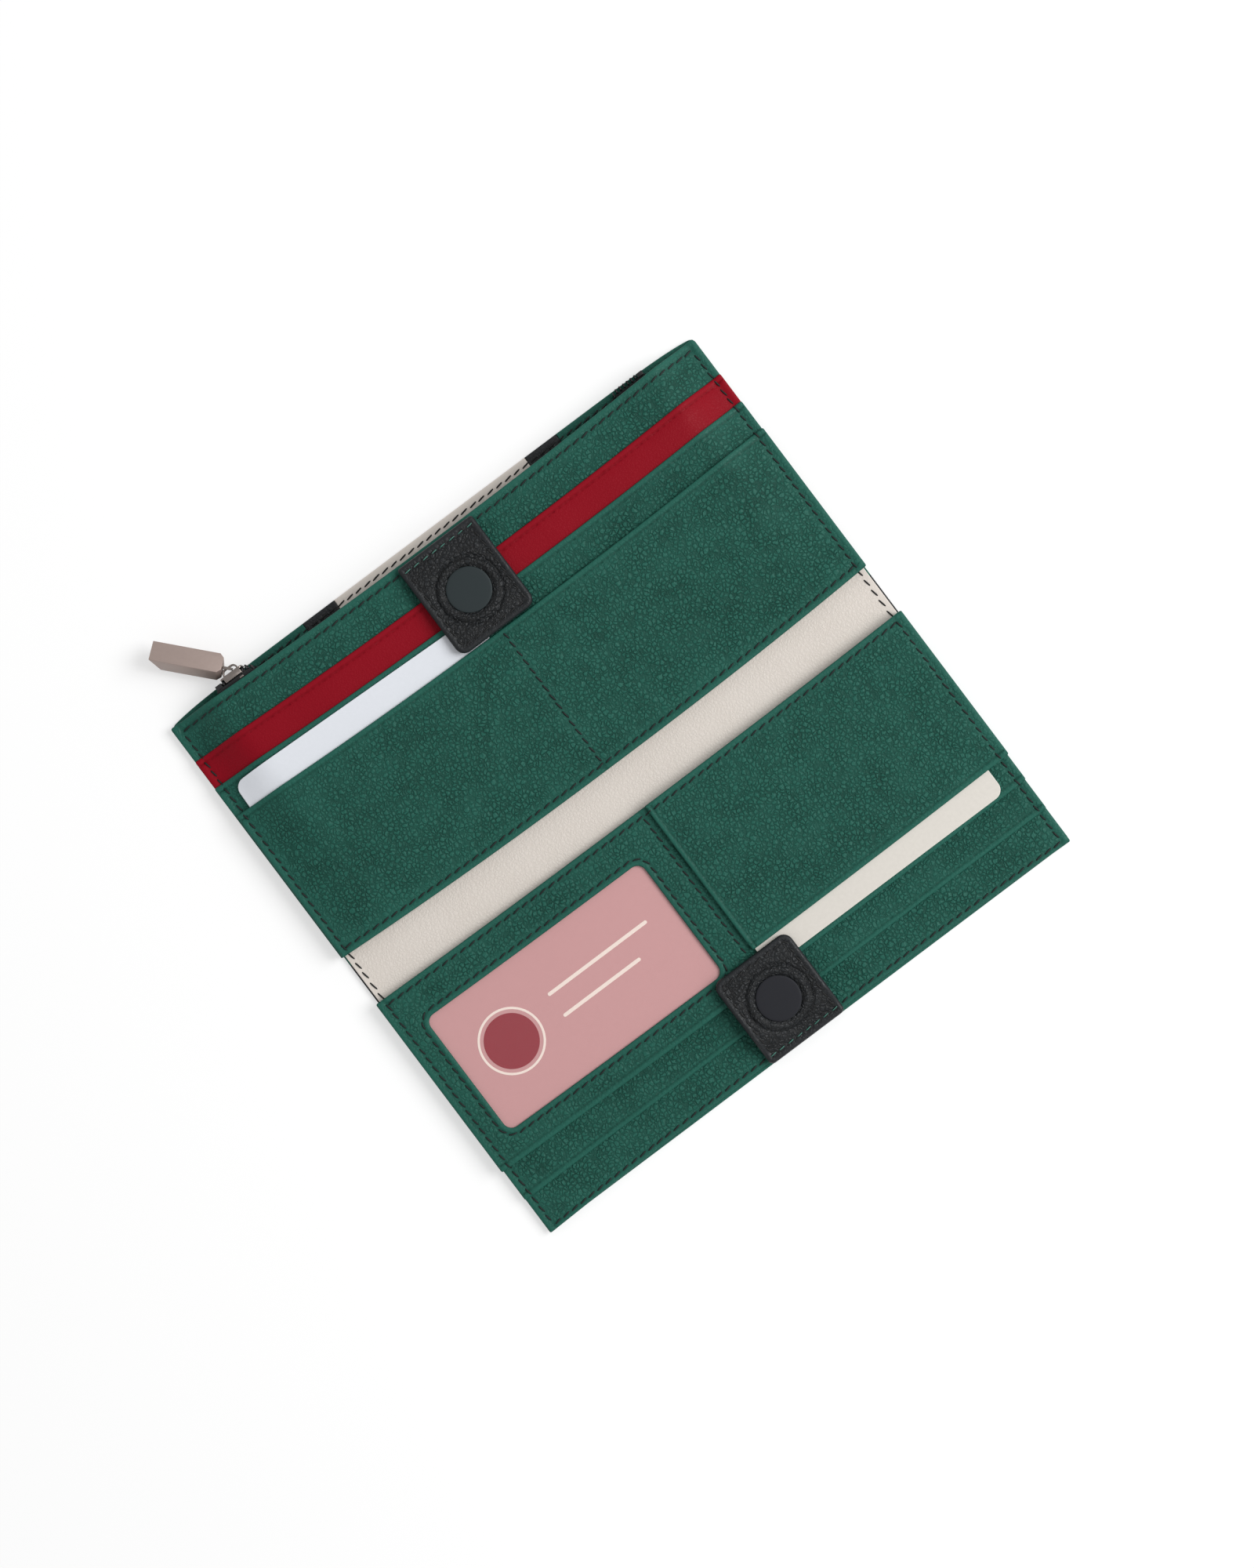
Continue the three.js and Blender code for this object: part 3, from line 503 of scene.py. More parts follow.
# path: points in mm; height: the leather's surface at x, y; under: on the outside
def stitches(name, path, height, body, thread="darkThread", pitch=None, length=None,
             width=None, tilt=None, seed=1, under=False):
    s = stitchShape
    random = np.random.default_rng(seed)
    pitch = pitch or layout["stitchPitch"]
    length = length or layout["stitchLength"]
    width = width or layout["threadWidth"]
    tilt = tilt or s["lean"]
    path = np.array(path, float)
    marks = np.concatenate([[0], np.cumsum(np.linalg.norm(np.diff(path, axis=0), axis=1))])
    count = max(1, int(round(marks[-1] / pitch)))
    step = marks[-1] / count
    t = np.linspace(-1, 1, s["rings"])
    rise = (-1 if under else 1) * width * (s["proud"] - s["dip"] * np.abs(t) ** 4)
    radius = width / 2 * (1 - s["taper"] * np.abs(t) ** 4)
    points, faces = [], []
    for k in range(count):
        middle = (k + 0.5) * step + random.normal(0, s["offPlace"])
        long = length * step / pitch * (1 + random.normal(0, s["offLength"]))
        along = np.linspace(middle - long / 2, middle + long / 2, s["rings"])
        along = np.clip(along, 0, marks[-1])
        px = np.interp(along, marks, path[:, 0])
        py = np.interp(along, marks, path[:, 1])
        run = np.array([px[-1] - px[0], py[-1] - py[0]])
        if np.linalg.norm(run) < 1e-6:
            continue
        run /= np.linalg.norm(run)
        side = np.array([-run[1], run[0]])
        lean = np.linspace(-tilt, tilt, s["rings"]) * long
        px, py = px + side[0] * lean, py + side[1] * lean
        pz = height(px, py) + rise
        start, n = len(points), s["sides"]
        for x, y, z, r in zip(px, py, pz, radius):
            for j in range(n):
                a = 2 * math.pi * j / n
                points.append((x + side[0] * math.cos(a) * r, y + side[1] * math.cos(a) * r,
                               z + math.sin(a) * r * s["flat"]))
        for i in range(s["rings"] - 1):
            for j in range(n):
                p, q = start + i * n + j, start + i * n + (j + 1) % n
                faces.append((p, q, q + n, p + n))
        faces.append(tuple(start + j for j in range(n))[::-1])
        faces.append(tuple(start + (s["rings"] - 1) * n + j for j in range(n)))
    obj = newObject(name, points, faces)
    faceOut(obj.data)
    return dress(obj, body, thread)


def faceOut(mesh):
    work = bmesh.new()
    work.from_mesh(mesh)
    bmesh.ops.recalc_face_normals(work, faces=work.faces)
    work.to_mesh(mesh)
    work.free()


def straight(x0, y0, x1, y1, step=2.0):
    n = max(2, int(math.hypot(x1 - x0, y1 - y0) / step))
    return [(x0 + (x1 - x0) * k / n, y0 + (y1 - y0) * k / n) for k in range(n + 1)]


def bowShift(x, y):
    return y - bow(x)


# the lower stack bows a little towards the spine, and inwards at its bottom edge
lowerBow = {"spine": -1.0, "edge": 2.4, "from": -70, "over": 21}


def lowerShift(x, y):
    s = lowerBow
    t = np.clip((s["from"] - y) / s["over"], 0, 1)
    return y + bow(x) / layout["bowDepth"] * (s["spine"] + s["edge"] * eased(t))


# a path's points, moved with the sheets that it is sewn to
def moved(points, shift):
    return [(x, float(shift(np.array(x), np.array(y)))) for x, y in points]


# tilts the far edge of an outline by so many millimetres from end to end
def slanted(loop, y0, y1, amount):
    loop = loop.copy()
    loop[:, 1] += amount * loop[:, 0] / half * np.clip((loop[:, 1] - y0) / (y1 - y0), 0, 1)
    return loop


# an outline turned about a point
def turned(angle, centre, loop):
    c, s = math.cos(math.radians(angle)), math.sin(math.radians(angle))
    p = loop - np.array(centre)
    return np.stack([p[:, 0] * c - p[:, 1] * s, p[:, 0] * s + p[:, 1] * c], 1) + np.array(centre)


# where the seams run, and from where to where the ones across the width go
seamPlaces = {"left": -93.1, "right": 92.7, "mouth": 89.6, "upperSpine": 10.65,
              "lowerSpine": -10.2, "bottom": -90.9, "centre": -0.7, "pocketSide": -0.6,
              "hem": 91.2, "upperSides": (88.4, 9.4), "lowerSides": (-9.6, -89.9),
              "centreEnds": (56.2, 8.6), "pocketEnds": (-10.6, -60.5)}
# depth and width of the creases that a seam or a turned hem presses into the top
dents = {"hem": (0.30, 0.3), "side": (0.16, 0.5), "centre": (0.22, 0.5), "spine": (0.2, 0.5),
         "mouth": (0.24, 0.55), "window": (0.18, 0.5), "pocket": (0.16, 0.45)}
dentGap = {"hem": 0.6, "side": 0.8}  # between a crease's end and the panel's edge


def crease(kind, x0, y0, x1, y1, step=6):
    return (straight(x0, y0, x1, y1, step), *dents[kind])


# upper half: panels stacked over the zip pocket, each a little off its neighbour at the sides
upperPanels = {
    "basePanel": {"node": "upper_base_panel", "x": (-95.6, 94.9), "y": (8.55, 92.2),
                  "z": (1.86, 2.64), "radii": (0, 0, 0.7, 0.7), "tilt": 0, "hem": 0.0,
                  "look": "greenPebble"},
    "redPanel": {"node": "red_slot_panel", "x": (-95.6, 95.2), "y": (8.75, 79.6),
                 "z": (2.66, 3.44), "radii": (0, 0, 0.6, 0.6), "tilt": -0.5, "hem": 1.9,
                 "look": "redSmooth"},
    "greenPanel": {"node": "green_slot_panel", "x": (-95.7, 95.3), "y": (8.65, 69.7),
                   "z": (3.46, 4.24), "radii": (0, 0, 0.6, 0.6), "tilt": -0.7, "hem": 1.9,
                   "look": "greenPebble"},
    "frontPocket": {"node": "upper_front_pocket", "x": (-95.2, 95.5), "y": (8.55, 59.5),
                    "z": (4.26, 5.82), "radii": (0.5, 0.5, 0.6, 0.6), "tilt": -0.6, "hem": 1.9,
                    "look": "greenPebble"},
}


def makeUpperPanels():
    p, hem, side = seamPlaces, dentGap["hem"], dentGap["side"]
    for k, (name, s) in enumerate(upperPanels.items()):
        (x0, x1), (y0, y1), (z0, z1) = s["x"], s["y"], s["z"]
        loop = slanted(rounded(x0, x1, y0, y1, s["radii"]), y0, y1, s["tilt"])
        creases = []
        if s["hem"]:
            y = y1 - s["hem"]
            line, *dent = crease("hem", x0 + hem, y, x1 - hem, y, 4)
            creases.append(([(x, y + s["tilt"] * x / half) for x, y in line], *dent))
        creases += [crease("side", x, y1 - side, x, y0 + side) for x in (p["left"], p["right"])]
        if name == "frontPocket":
            creases += [crease("centre", p["centre"], y0 + hem, p["centre"], y1 - 2.4, 3),
                        crease("spine", p["left"], p["upperSpine"], p["right"], p["upperSpine"])]
        if name == "basePanel":
            creases.append(crease("mouth", p["left"], p["mouth"], p["right"], p["mouth"]))
        sheet = sheetMesh(name, [loop], z0, z1, rise, bowShift, creases=creases, wave=0.10, seed=k)
        dress(sheet, "upper_half", s["look"], s["node"])


makeUpperPanels()
print("upper panels made")

# lower half: two plain slots, the ID window and a pocket with a turned side edge
window = {"centre": (-48.1, -40.6), "size": (77.6, 40.8), "corner": 2.8, "seamGap": 1.9}
lowerPanels = {
    "lowerBase": {"node": "lower_base_panel", "x": (-95.3, 95.1), "y": (-92.3, -8.2),
                  "z": (1.54, 2.32), "radii": (0.5, 0.5, 0, 0), "hem": None},
    "lowerSlot": {"node": "lower_slot_panel", "x": (-95.4, 95.2), "y": (-80.2, -8.3),
                  "z": (2.34, 3.12), "radii": (0.6, 0.6, 0, 0), "hem": -78.3},
    "windowPanel": {"node": "window_panel", "x": (-95.8, 95.3), "y": (-69.5, -8.2),
                    "z": (3.14, 4.94), "radii": (0.6, 0.6, 0.5, 0.5), "hem": -67.6},
    "sidePocket": {"node": "lower_front_pocket", "x": (1.6, 95.6), "y": (-60.5, -8.1),
                   "z": (4.96, 6.52), "radii": (0.6, 0.6, 0.5, 0.5), "hem": -58.6},
}


def windowLoop(grow=0.0):
    (cx, cy), (w, h) = window["centre"], window["size"]
    w, h, r = w / 2 + grow, h / 2 + grow, window["corner"] + grow
    return rounded(cx - w, cx + w, cy - h, cy + h, (r, r, r, r))


def windowSeam():
    ring = windowLoop(window["seamGap"])
    return [tuple(q) for q in np.vstack([ring, ring[:1]])]


def makeLowerPanels():
    p, hem, side = seamPlaces, dentGap["hem"], dentGap["side"]
    for k, (name, s) in enumerate(lowerPanels.items()):
        (x0, x1), (y0, y1), (z0, z1) = s["x"], s["y"], s["z"]
        loops = [rounded(x0, x1, y0, y1, s["radii"])]
        creases = []
        if s["hem"]:
            creases.append(crease("hem", x0 + hem, s["hem"], x1 - hem, s["hem"], 4))
        sides = (p["right"],) if name == "sidePocket" else (p["left"], p["right"])
        creases += [crease("side", x, y1 - side, x, y0 + side) for x in sides]
        if name == "lowerBase":
            creases.append(crease("spine", p["left"], p["bottom"], p["right"], p["bottom"]))
        if name == "windowPanel":
            loops.append(windowLoop()[::-1])
            creases += [(windowSeam(), *dents["window"]),
                        crease("pocket", p["pocketSide"], y1 - side, p["pocketSide"],
                               p["pocketEnds"][1], 4),
                        crease("spine", p["left"], p["lowerSpine"], 0, p["lowerSpine"])]
        if name == "sidePocket":
            creases += [crease("hem", x0 + 1.5, y0 + hem, x0 + 1.5, y1 - 1.0, 4),
                        crease("spine", x0 + 2, p["lowerSpine"], p["right"], p["lowerSpine"])]
        sheet = sheetMesh(name, loops, z0, z1, shift=lowerShift, creases=creases, wave=0.09,
                          seed=k + 7)
        dress(sheet, "lower_half", "greenPebble", s["node"])


makeLowerPanels()
print("lower panels made")

# the cards: rigid, so they lie straight in the bowed pockets
cards = {
    "slotCard": {"node": "upper_card", "body": "upper_half", "x": (-90.2, -4.6),
                 "y": (13.9, 67.9), "z": (4.28, 5.04), "turn": -1.9, "lift": rise,
                 "look": "whiteCard"},
    "sideCard": {"node": "lower_card", "body": "lower_half", "x": (2.4, 88.0),
                 "y": (-68.9, -14.9), "z": (4.98, 5.74), "turn": 0.0, "lift": flat,
                 "look": "creamCard"},
    "windowCard": {"node": "id_card", "body": "lower_half", "x": (-90.9, -5.3),
                   "y": (-67.6, -13.6), "z": (3.16, 3.92), "turn": -0.6, "lift": flat,
                   "look": "pinkCard"},
}


cardShape = {"corner": 3.2, "step": 3, "spacing": 4, "edge": 0.12}


def makeCards():
    c = cardShape
    for name, s in cards.items():
        loop = rounded(*s["x"], *s["y"], [c["corner"]] * 4, step=c["step"])
        loop = turned(s["turn"], (s["x"][0], s["y"][1]), loop)
        sheet = sheetMesh(name, [loop], *s["z"], lift=s["lift"], spacing=c["spacing"],
                          edgeRound=c["edge"])
        dress(sheet, s["body"], s["look"], s["node"])


# a plain ornament on the window card: a disc in a thin ring, set to one side, and two rules
cardPrint = {"disc": (-70.5, -40.5), "discRadius": 8.2, "ring": (10.0, 9.3), "height": 3.93,
             "rules": [(-54.0, -36.2, -18.0), (-54.0, -43.8, -26.0)], "ruleWidth": 1.1,
             "thickness": 0.035, "edge": 0.01, "count": 72}


def makeCardPrint():
    s = cardPrint
    z = s["height"], s["height"] + s["thickness"]

    def ring(r):
        return np.array(circle(*s["disc"], r, s["count"]))

    def printed(name, loops, look, spacing=3):
        sheet = sheetMesh(name, loops, *z, edgeRound=s["edge"], spacing=spacing)
        dress(sheet, "lower_half", look)

    printed("cardDisc", [ring(s["discRadius"])], "cardBand")
    outer, inner = s["ring"]
    printed("cardRing", [ring(outer), ring(inner)[::-1]], "cardLine")
    for k, (x0, y, x1) in enumerate(s["rules"]):
        w = s["ruleWidth"] / 2
        printed(f"cardRule{k}", [rounded(x0, x1, y - w, y + w, [w] * 4)], "cardLine", 2.4)


windowFilm = {"x": (-90.0, -6.2), "y": (-64.9, -17.7), "z": (4.02, 4.16), "corner": 3}


def makeWindowFilm():
    s = windowFilm
    loop = rounded(*s["x"], *s["y"], [s["corner"]] * 4, step=3)
    film = sheetMesh("windowFilm", [loop], *s["z"], spacing=4, edgeRound=0.03, wave=0.05, seed=3)
    dress(film, "lower_half", "clearFilm", "window_film")


makeCards()
makeCardPrint()
makeWindowFilm()
print("cards and window film made")

# the outside: covers with the upper one's blocks butted together, linings and the spine
coverEdge = {"x": (-95.25, 95.25), "z": (0.0, 1.2), "foldLower": -8.05, "foldUpper": 5.2,
             "middle": -1.4, "bend": 4.2, "lowerEnd": -92.0, "upperEnd": 93.2, "corner": 1.6}
blocks = [
    ("coverGreenLeft", "upper_cover_green_left", -95.25, -46.3, "greenPebble"),
    ("coverBlackLeft", "upper_cover_black_left", -46.3, -34.8, "blackPebble"),
    ("coverCream", "upper_cover_cream", -34.8, 34.8, "creamGrain"),
    ("coverBlackRight", "upper_cover_black_right", 34.8, 46.3, "blackPebble"),
    ("coverGreenRight", "upper_cover_green_right", 46.3, 95.25, "greenPebble"),
]
linings = [("lowerLining", "lower_lining", "lower_half", (-90.9, -12.2), (1.22, 1.52)),
           ("liningBack", "pocket_lining_back", "upper_half", (12.7, 83.7), (1.22, 1.52)),
           ("liningFront", "pocket_lining_front", "upper_half", (8.6, 86.2), (1.54, 1.84))]
# the upper cover's free edge is a little full and falls off at the corners
mouthEdge = {"from": 70, "over": 23, "full": 0.45, "slope": 0.2, "fall": 1.5, "power": 12}


def coverShift(x, y):
    s = mouthEdge
    t = np.clip((y - s["from"]) / s["over"], 0, 1)
    fall = s["fall"] * np.clip(np.abs(x) / half, 0, 1) ** s["power"]
    return y + t * t * (s["full"] - s["slope"] * x / half - fall)


# rounds the underside's edge of a sheet whose underside lies at z = 0
def roundUnder(obj, loops, z1, r):
    mesh = obj.data
    co = np.array([v.co for v in mesh.vertices]) / mm
    d = distanceTo(co[:, :2], loops)
    near = (co[:, 2] < z1 * 0.3) & (d < r)
    up = np.where(near, r - np.sqrt(np.maximum(r * r - (r - d) ** 2, 0)), 0)
    for v, dz in zip(mesh.vertices, up):
        v.co.z += float(dz) * mm
    mesh.update()


def makeCovers():
    s = coverEdge
    (x0, x1), (z0, z1), r = s["x"], s["z"], s["corner"]
    loop = rounded(x0, x1, s["lowerEnd"], s["foldLower"], (r, r, 0, 0))
    cover = sheetMesh("lowerCover", [loop], z0, z1)
    roundUnder(cover, [loop], z1, 0.45)
    dress(cover, "lower_half", "greenPebble", "lower_cover")
    for name, node, left, right, look in blocks:
        radii = (0, 0, r if right == x1 else 0, r if left == x0 else 0)
        loop = rounded(left, right, s["foldUpper"], s["upperEnd"], radii)
        block = sheetMesh(name, [loop], z0, z1, shift=coverShift, edgeRound=0.3)
        roundUnder(block, [loop], z1, 0.3)
        dress(block, "upper_half", look, node)
    for name, node, body, (y0, y1), z in linings:
        inner = rounded(x0 + 0.6, x1 - 0.6, y0, y1)
        front = {"lift": rise, "shift": bowShift, "spacing": 3}
        laid = front if name == "liningFront" else {"spacing": 4}
        lining = sheetMesh(name, [inner], *z, edgeRound=0.1, **laid)
        dress(lining, body, "liningCloth", node)


def splitAcross(obj, y, keepLow):
    work = bmesh.new()
    work.from_mesh(obj.data)
    geom = work.verts[:] + work.edges[:] + work.faces[:]
    bmesh.ops.bisect_plane(work, geom=geom, plane_co=(0, y * mm, 0), plane_no=(0, 1, 0),
                           clear_outer=keepLow, clear_inner=not keepLow)
    work.to_mesh(obj.data)
    work.free()


# gives a piece of the spine its finish, hides its nodes and bakes its placement into the mesh
def bendAcross(obj, lower, look, *nodes):
    dress(obj, None, look, *nodes)
    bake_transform(obj)


spineShape = {"lining": (-12.0, 12.5), "liningZ": (1.22, 1.53), "inset": 0.5, "step": 0.6,
              "spacing": 1.2, "edges": (0.2, 0.3, 0.15)}  # the cover's top, underside, the lining


# each sheet is made whole, then cut along the spine's middle into two halves, each reaching to one
# of the fold lines
def makeSpine():
    s, c = spineShape, coverEdge
    (x0, x1), (top, under, edge) = c["x"], s["edges"]
    for lower in (True, False):
        side = "Lower" if lower else "Upper"
        loop = rounded(x0, x1, c["foldLower"], c["foldUpper"], step=s["step"])
        cover = sheetMesh("spineCover" + side, [loop], *c["z"], spacing=s["spacing"],
                          edgeRound=top)
        roundUnder(cover, [loop], c["z"][1], under)
        splitAcross(cover, c["middle"], lower)
        bendAcross(cover, lower, "blackPebble", "spine_cover")
        strip = rounded(x0 + s["inset"], x1 - s["inset"], *s["lining"], step=s["step"])
        lining = sheetMesh("spineLining" + side, [strip], *s["liningZ"], spacing=s["spacing"],
                           edgeRound=edge)
        splitAcross(lining, c["middle"], lower)
        bendAcross(lining, lower, "creamGrain", "spine_lining")


makeCovers()
makeSpine()
print("covers, linings and spine made")

# closing tabs: two layers of hide turned over a round magnet, a pressed disc in a raised ring
tabs = {
    "upperTab": {"body": "upper_half", "x": (-14.7, 12.3), "y": (57.2, 88.7),
                 "z": (11.33, 12.83), "back": (10.61, 11.31), "radii": (3.0, 3.0, 1.0, 1.0),
                 "disc": (-1.25, 71.6), "sewn": 86.5, "sinks": (0.75, 79.5, 8),
                 "look": "blackPressed"},
    "lowerTab": {"body": "lower_half", "x": (-14.2, 12.8), "y": (-91.8, -62.6),
                 "z": (6.56, 8.06), "back": (5.84, 6.54), "radii": (1.6, 1.6, 3.0, 3.0),
                 "disc": (-0.75, -77.1), "sewn": -89.5, "sinks": (3.1, -82.0, -7.5),
                 "look": "darkPressed"},
}
ringShape = {"radius": 8.35, "height": 0.34, "width": 0.8, "groove": 9.85, "grooveDepth": 0.5,
             "grooveWidth": 0.55, "dish": 7.05, "dishDepth": 0.5, "dishWall": 0.18,
             "circles": (6.2, 6.6, 6.85, 7.0, 7.15, 7.4, 7.7, 8.0, 8.2, 8.35, 8.5, 8.8, 9.1, 9.4,
                         9.65, 9.9, 10.15, 10.5, 11, 11.6), "count": 96}
tabEdge = {"seam": 2.1, "seamDepth": 0.22, "seamWidth": 0.5, "puff": 0.12, "puffAt": 1.0,
           "puffWidth": 0.7, "crumple": 0.05, "crumpleAt": 12.5, "crumpleWidth": 3}
# the profile of a disc: distance in from its radius, or share of it, and height
discShape = {"radius": 6.75, "sunk": 0.1, "count": 96, "sharp": 60, "middle": 0.18,
             "rim": ((0, -0.5), (0, -0.05), (0.12, 0.06), (0.35, 0.12), (0.8, 0.14)),
             "face": ((0.7, 0.17), (0.35, 0.18))}


# the sewn end sinks onto the base panel, or down the steps of the slots to the wallet's edge
def tabLift(s):
    depth, start, over = s["sinks"]
    return lambda x, y: -depth * eased(np.clip((y - start) / over, 0, 1))


def makeTab(name, s):
    (x0, x1), (y0, y1), (cx, cy), lift = s["x"], s["y"], s["disc"], tabLift(s)
    loop = rounded(x0, x1, y0, y1, s["radii"], step=0.8)
    g, e = ringShape, tabEdge

    def relief(x, y):
        r = np.hypot(x - cx, y - cy)
        ring = g["height"] * bell(r - g["radius"], g["width"])
        groove = -g["grooveDepth"] * bell(r - g["groove"], g["grooveWidth"])
        dish = -g["dishDepth"] / (1 + np.exp((r - g["dish"]) / g["dishWall"]))
        edge = distanceTo(np.stack([x, y], 1), [loop])
        seam = -e["seamDepth"] * bell(edge - e["seam"], e["seamWidth"])
        puff = e["puff"] * bell(edge - e["puffAt"], e["puffWidth"])
        crumple = e["crumple"] * np.sin(x * 1.9 + y * 1.3 + 2 * np.sin(y * 0.7))
        return (ring + groove + dish + seam + puff
                + crumple * bell(r - e["crumpleAt"], e["crumpleWidth"]))

    extra = [p for r in g["circles"] for p in circle(cx, cy, r, g["count"], r * 0.03)
             if x0 + 0.02 < p[0] < x1 - 0.02 and y0 + 0.02 < p[1] < y1 - 0.02]
    node = name.replace("Tab", "_tab_")
    face = sheetMesh(name, [loop], *s["z"], lift=lift, spacing=0.9, relief=relief, extra=extra,
                     edgeRound=0.85)
    dress(face, s["body"], "blackPebble", node + "face")
    back = sheetMesh(name + "Back", [insetLoop(loop, 0.12)], *s["back"], lift=lift, spacing=2,
                     edgeRound=0.2)
    dress(back, s["body"], "blackPebble", node + "back")
    disc = turnedDisc(name + "Disc", cx, cy, s["z"][1] - discShape["sunk"])
    dress(disc, s["body"], s["look"], node + "disc")


def turnedDisc(name, cx, cy, z):
    s = discShape
    profile = [(s["radius"] - d, h) for d, h in s["rim"]]
    profile += [(s["radius"] * share, h) for share, h in s["face"]]
    n = s["count"]
    points = [(*p, z + h) for r, h in profile for p in circle(cx, cy, r, n)]
    last = len(points) - n
    faces = [(i + j, i + (j + 1) % n, i + (j + 1) % n + n, i + j + n)
             for i in range(0, last, n) for j in range(n)]
    faces += [(last + j, last + (j + 1) % n, len(points)) for j in range(n)]
    faces.append(tuple(range(n))[::-1])
    points.append((cx, cy, z + s["middle"]))
    return newObject(name, points, faces, s["sharp"])


for name, settings in tabs.items():
    makeTab(name, settings)
print("tabs made")

# the zip: tapes and coil rows lie open under the lip and come out to the slider at the left;
# hold: how far beyond the slider's place and its mirror image they stay out
zipShape = {"slider": -71.2, "hold": (4.5, 3.9), "sink": 4.6, "run": 5.0, "farRun": 3.0,
            "pitch": 1.35, "tape": (84.0, 92.3), "tapeEnd": 77.7, "end": 75.4, "row": 92.95,
            "wire": 0.5, "loop": (0.32, 0.62, 0.42), "sides": 6, "rings": 12}
zipRows = {"Back": {"tape": (1.9, 2.5), "row": 2.43, "farHold": 0.94},
           "Front": {"tape": (7.66, 8.26), "row": 7.73, "farHold": 0}}


# rows hold the slider's place at its end and sink under the panel's bowed edge elsewhere
def zipShift(x, y, farHold=1):
    s = zipShape
    near, far = s["hold"]
    t = np.clip((s["slider"] + near + s["run"] - x) / s["run"], 0, 1)
    u = np.clip((x - (-s["slider"] - far - s["farRun"])) / s["farRun"], 0, 1)
    return y - (1 - np.maximum(eased(t), farHold * eased(u))) * s["sink"]


def makeZipSide(side, place):
    s = zipShape

    def shift(x, y):
        return zipShift(x, y, place["farHold"])

    loop = rounded(-s["tapeEnd"], s["tapeEnd"], *s["tape"], step=1.5)
    tape = sheetMesh("zipTape" + side, [loop], *place["tape"], shift=shift, spacing=3,
                     edgeRound=0.15)
    dress(tape, "upper_half", "liningCloth", "zip_tape_" + side.lower())
    points, faces = [], []
    count, n, rings = int(2 * s["end"] / s["pitch"]), s["sides"], s["rings"]
    for k in range(count):
        start = len(points)
        for i in range(rings):
            a = 2 * math.pi * i / rings
            px = -s["end"] + (k + 0.5) * 2 * s["end"] / count
            px += s["loop"][0] * math.cos(a) * math.sin(a)
            py = s["row"] + s["loop"][1] * math.cos(a)
            pz = place["row"] + s["loop"][2] * math.sin(a)
            for j in range(n):
                b = 2 * math.pi * j / n
                r = s["wire"] / 2 * math.cos(b)
                x, y = px + s["wire"] / 2 * math.sin(b), py + r * math.cos(a)
                points.append((x, float(shift(np.array(x), y)), pz + r * math.sin(a)))
                p, q = start + i * n, start + (i + 1) % rings * n
                faces.append((p + j, p + (j + 1) % n, q + (j + 1) % n, q + j))
    row = newObject("zipCoil" + side, points, faces)
    faceOut(row.data)
    dress(row, "upper_half", "zipCoil", "zip_teeth_" + side.lower())


# a copy of a metal node with its edges broken, as plated castings have
def softened(name, node, body, width, look, slot=None):
    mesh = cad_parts[node].data.copy()
    obj = bpy.data.objects.new(name, mesh)
    bpy.context.scene.collection.objects.link(obj)
    work = bmesh.new()
    work.from_mesh(mesh)
    bmesh.ops.remove_doubles(work, verts=work.verts, dist=0.00001)
    bmesh.ops.dissolve_limit(work, angle_limit=math.radians(3), verts=work.verts,
                             edges=work.edges)
    sharp = [e for e in work.edges
             if len(e.link_faces) == 2 and e.calc_face_angle(0) > math.radians(35)]
    bmesh.ops.bevel(work, geom=sharp, offset=width * mm, segments=2, profile=0.6,
                    affect="EDGES", clamp_overlap=True)
    work.to_mesh(mesh)
    work.free()
    mesh.shade_smooth()
    mesh.set_sharp_from_angle(angle=math.radians(40))
    return dress(obj, body, look, node, slot=slot)


metalParts = [("sliderBody", "slider_body", "zip_slider", 0.12, "gunmetal"),
              ("sliderBail", "slider_bail", "zip_slider", 0.15, "gunmetal"),
              ("pullLink", "pull_link", "zip_pull", 0.1, "gunmetal"),
              ("pullBar", "pull_bar", "zip_pull", 0.14, "taupeMetal")]
# each top stop stays on its row's end: the share of the rows' sink that it takes
stopSink = {"Front": 1.0, "Back": 0.06}
plainNodes = {"upper_tab_magnet": "platedSteel", "lower_tab_magnet": "platedSteel",
              "zip_bottom_stop": "zipCoil"}


def makeZip():
    for side, place in zipRows.items():
        makeZipSide(side, place)
    for part in metalParts:
        softened(*part)
    for side, share in stopSink.items():
        stop = softened("topStop" + side, "zip_top_stop_" + side.lower(), "upper_half", 0.08,
                        "zipCoil", "dark_metal")
        stop.data.transform(Matrix.Translation((0, -zipShape["sink"] * share * mm, 0)))
    for node, look in plainNodes.items():
        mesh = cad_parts[node].data
        mesh.materials.clear()
        mesh.materials.append(finish[look])


makeZip()
print("zip made")


# height of the leather that shows at a place on the upper half
def upperTop(x, y):
    x, y = np.asarray(x, float), np.asarray(y, float)
    flatY = y + bow(x)
    z = np.full(np.shape(flatY), upperPanels["basePanel"]["z"][1])
    for name in ("redPanel", "greenPanel", "frontPocket"):
        s = upperPanels[name]
        z = np.where(flatY < s["y"][1] + s["tilt"] * x / half, s["z"][1], z)
    return z + rise(x, flatY)


# the same for the lower half
def lowerTop(x, y):
    x, y = np.asarray(x, float), np.asarray(y, float)
    z = np.full(np.shape(y), lowerPanels["lowerBase"]["z"][1])
    for name in ("lowerSlot", "windowPanel", "sidePocket"):
        s = lowerPanels[name]
        inside = (x > s["x"][0]) & (y > lowerShift(x, np.full(np.shape(y), s["y"][0])))
        z = np.where(inside, s["z"][1], z)
    return z


def level(z):
    return lambda x, y: np.full(np.shape(x), z)


halves = {"upper_half": (upperTop, bowShift), "lower_half": (lowerTop, lowerShift)}


def sew(name, seed, body, path):
    top, shift = halves[body]
    stitches(name, moved(path, shift), top, body, seed=seed)


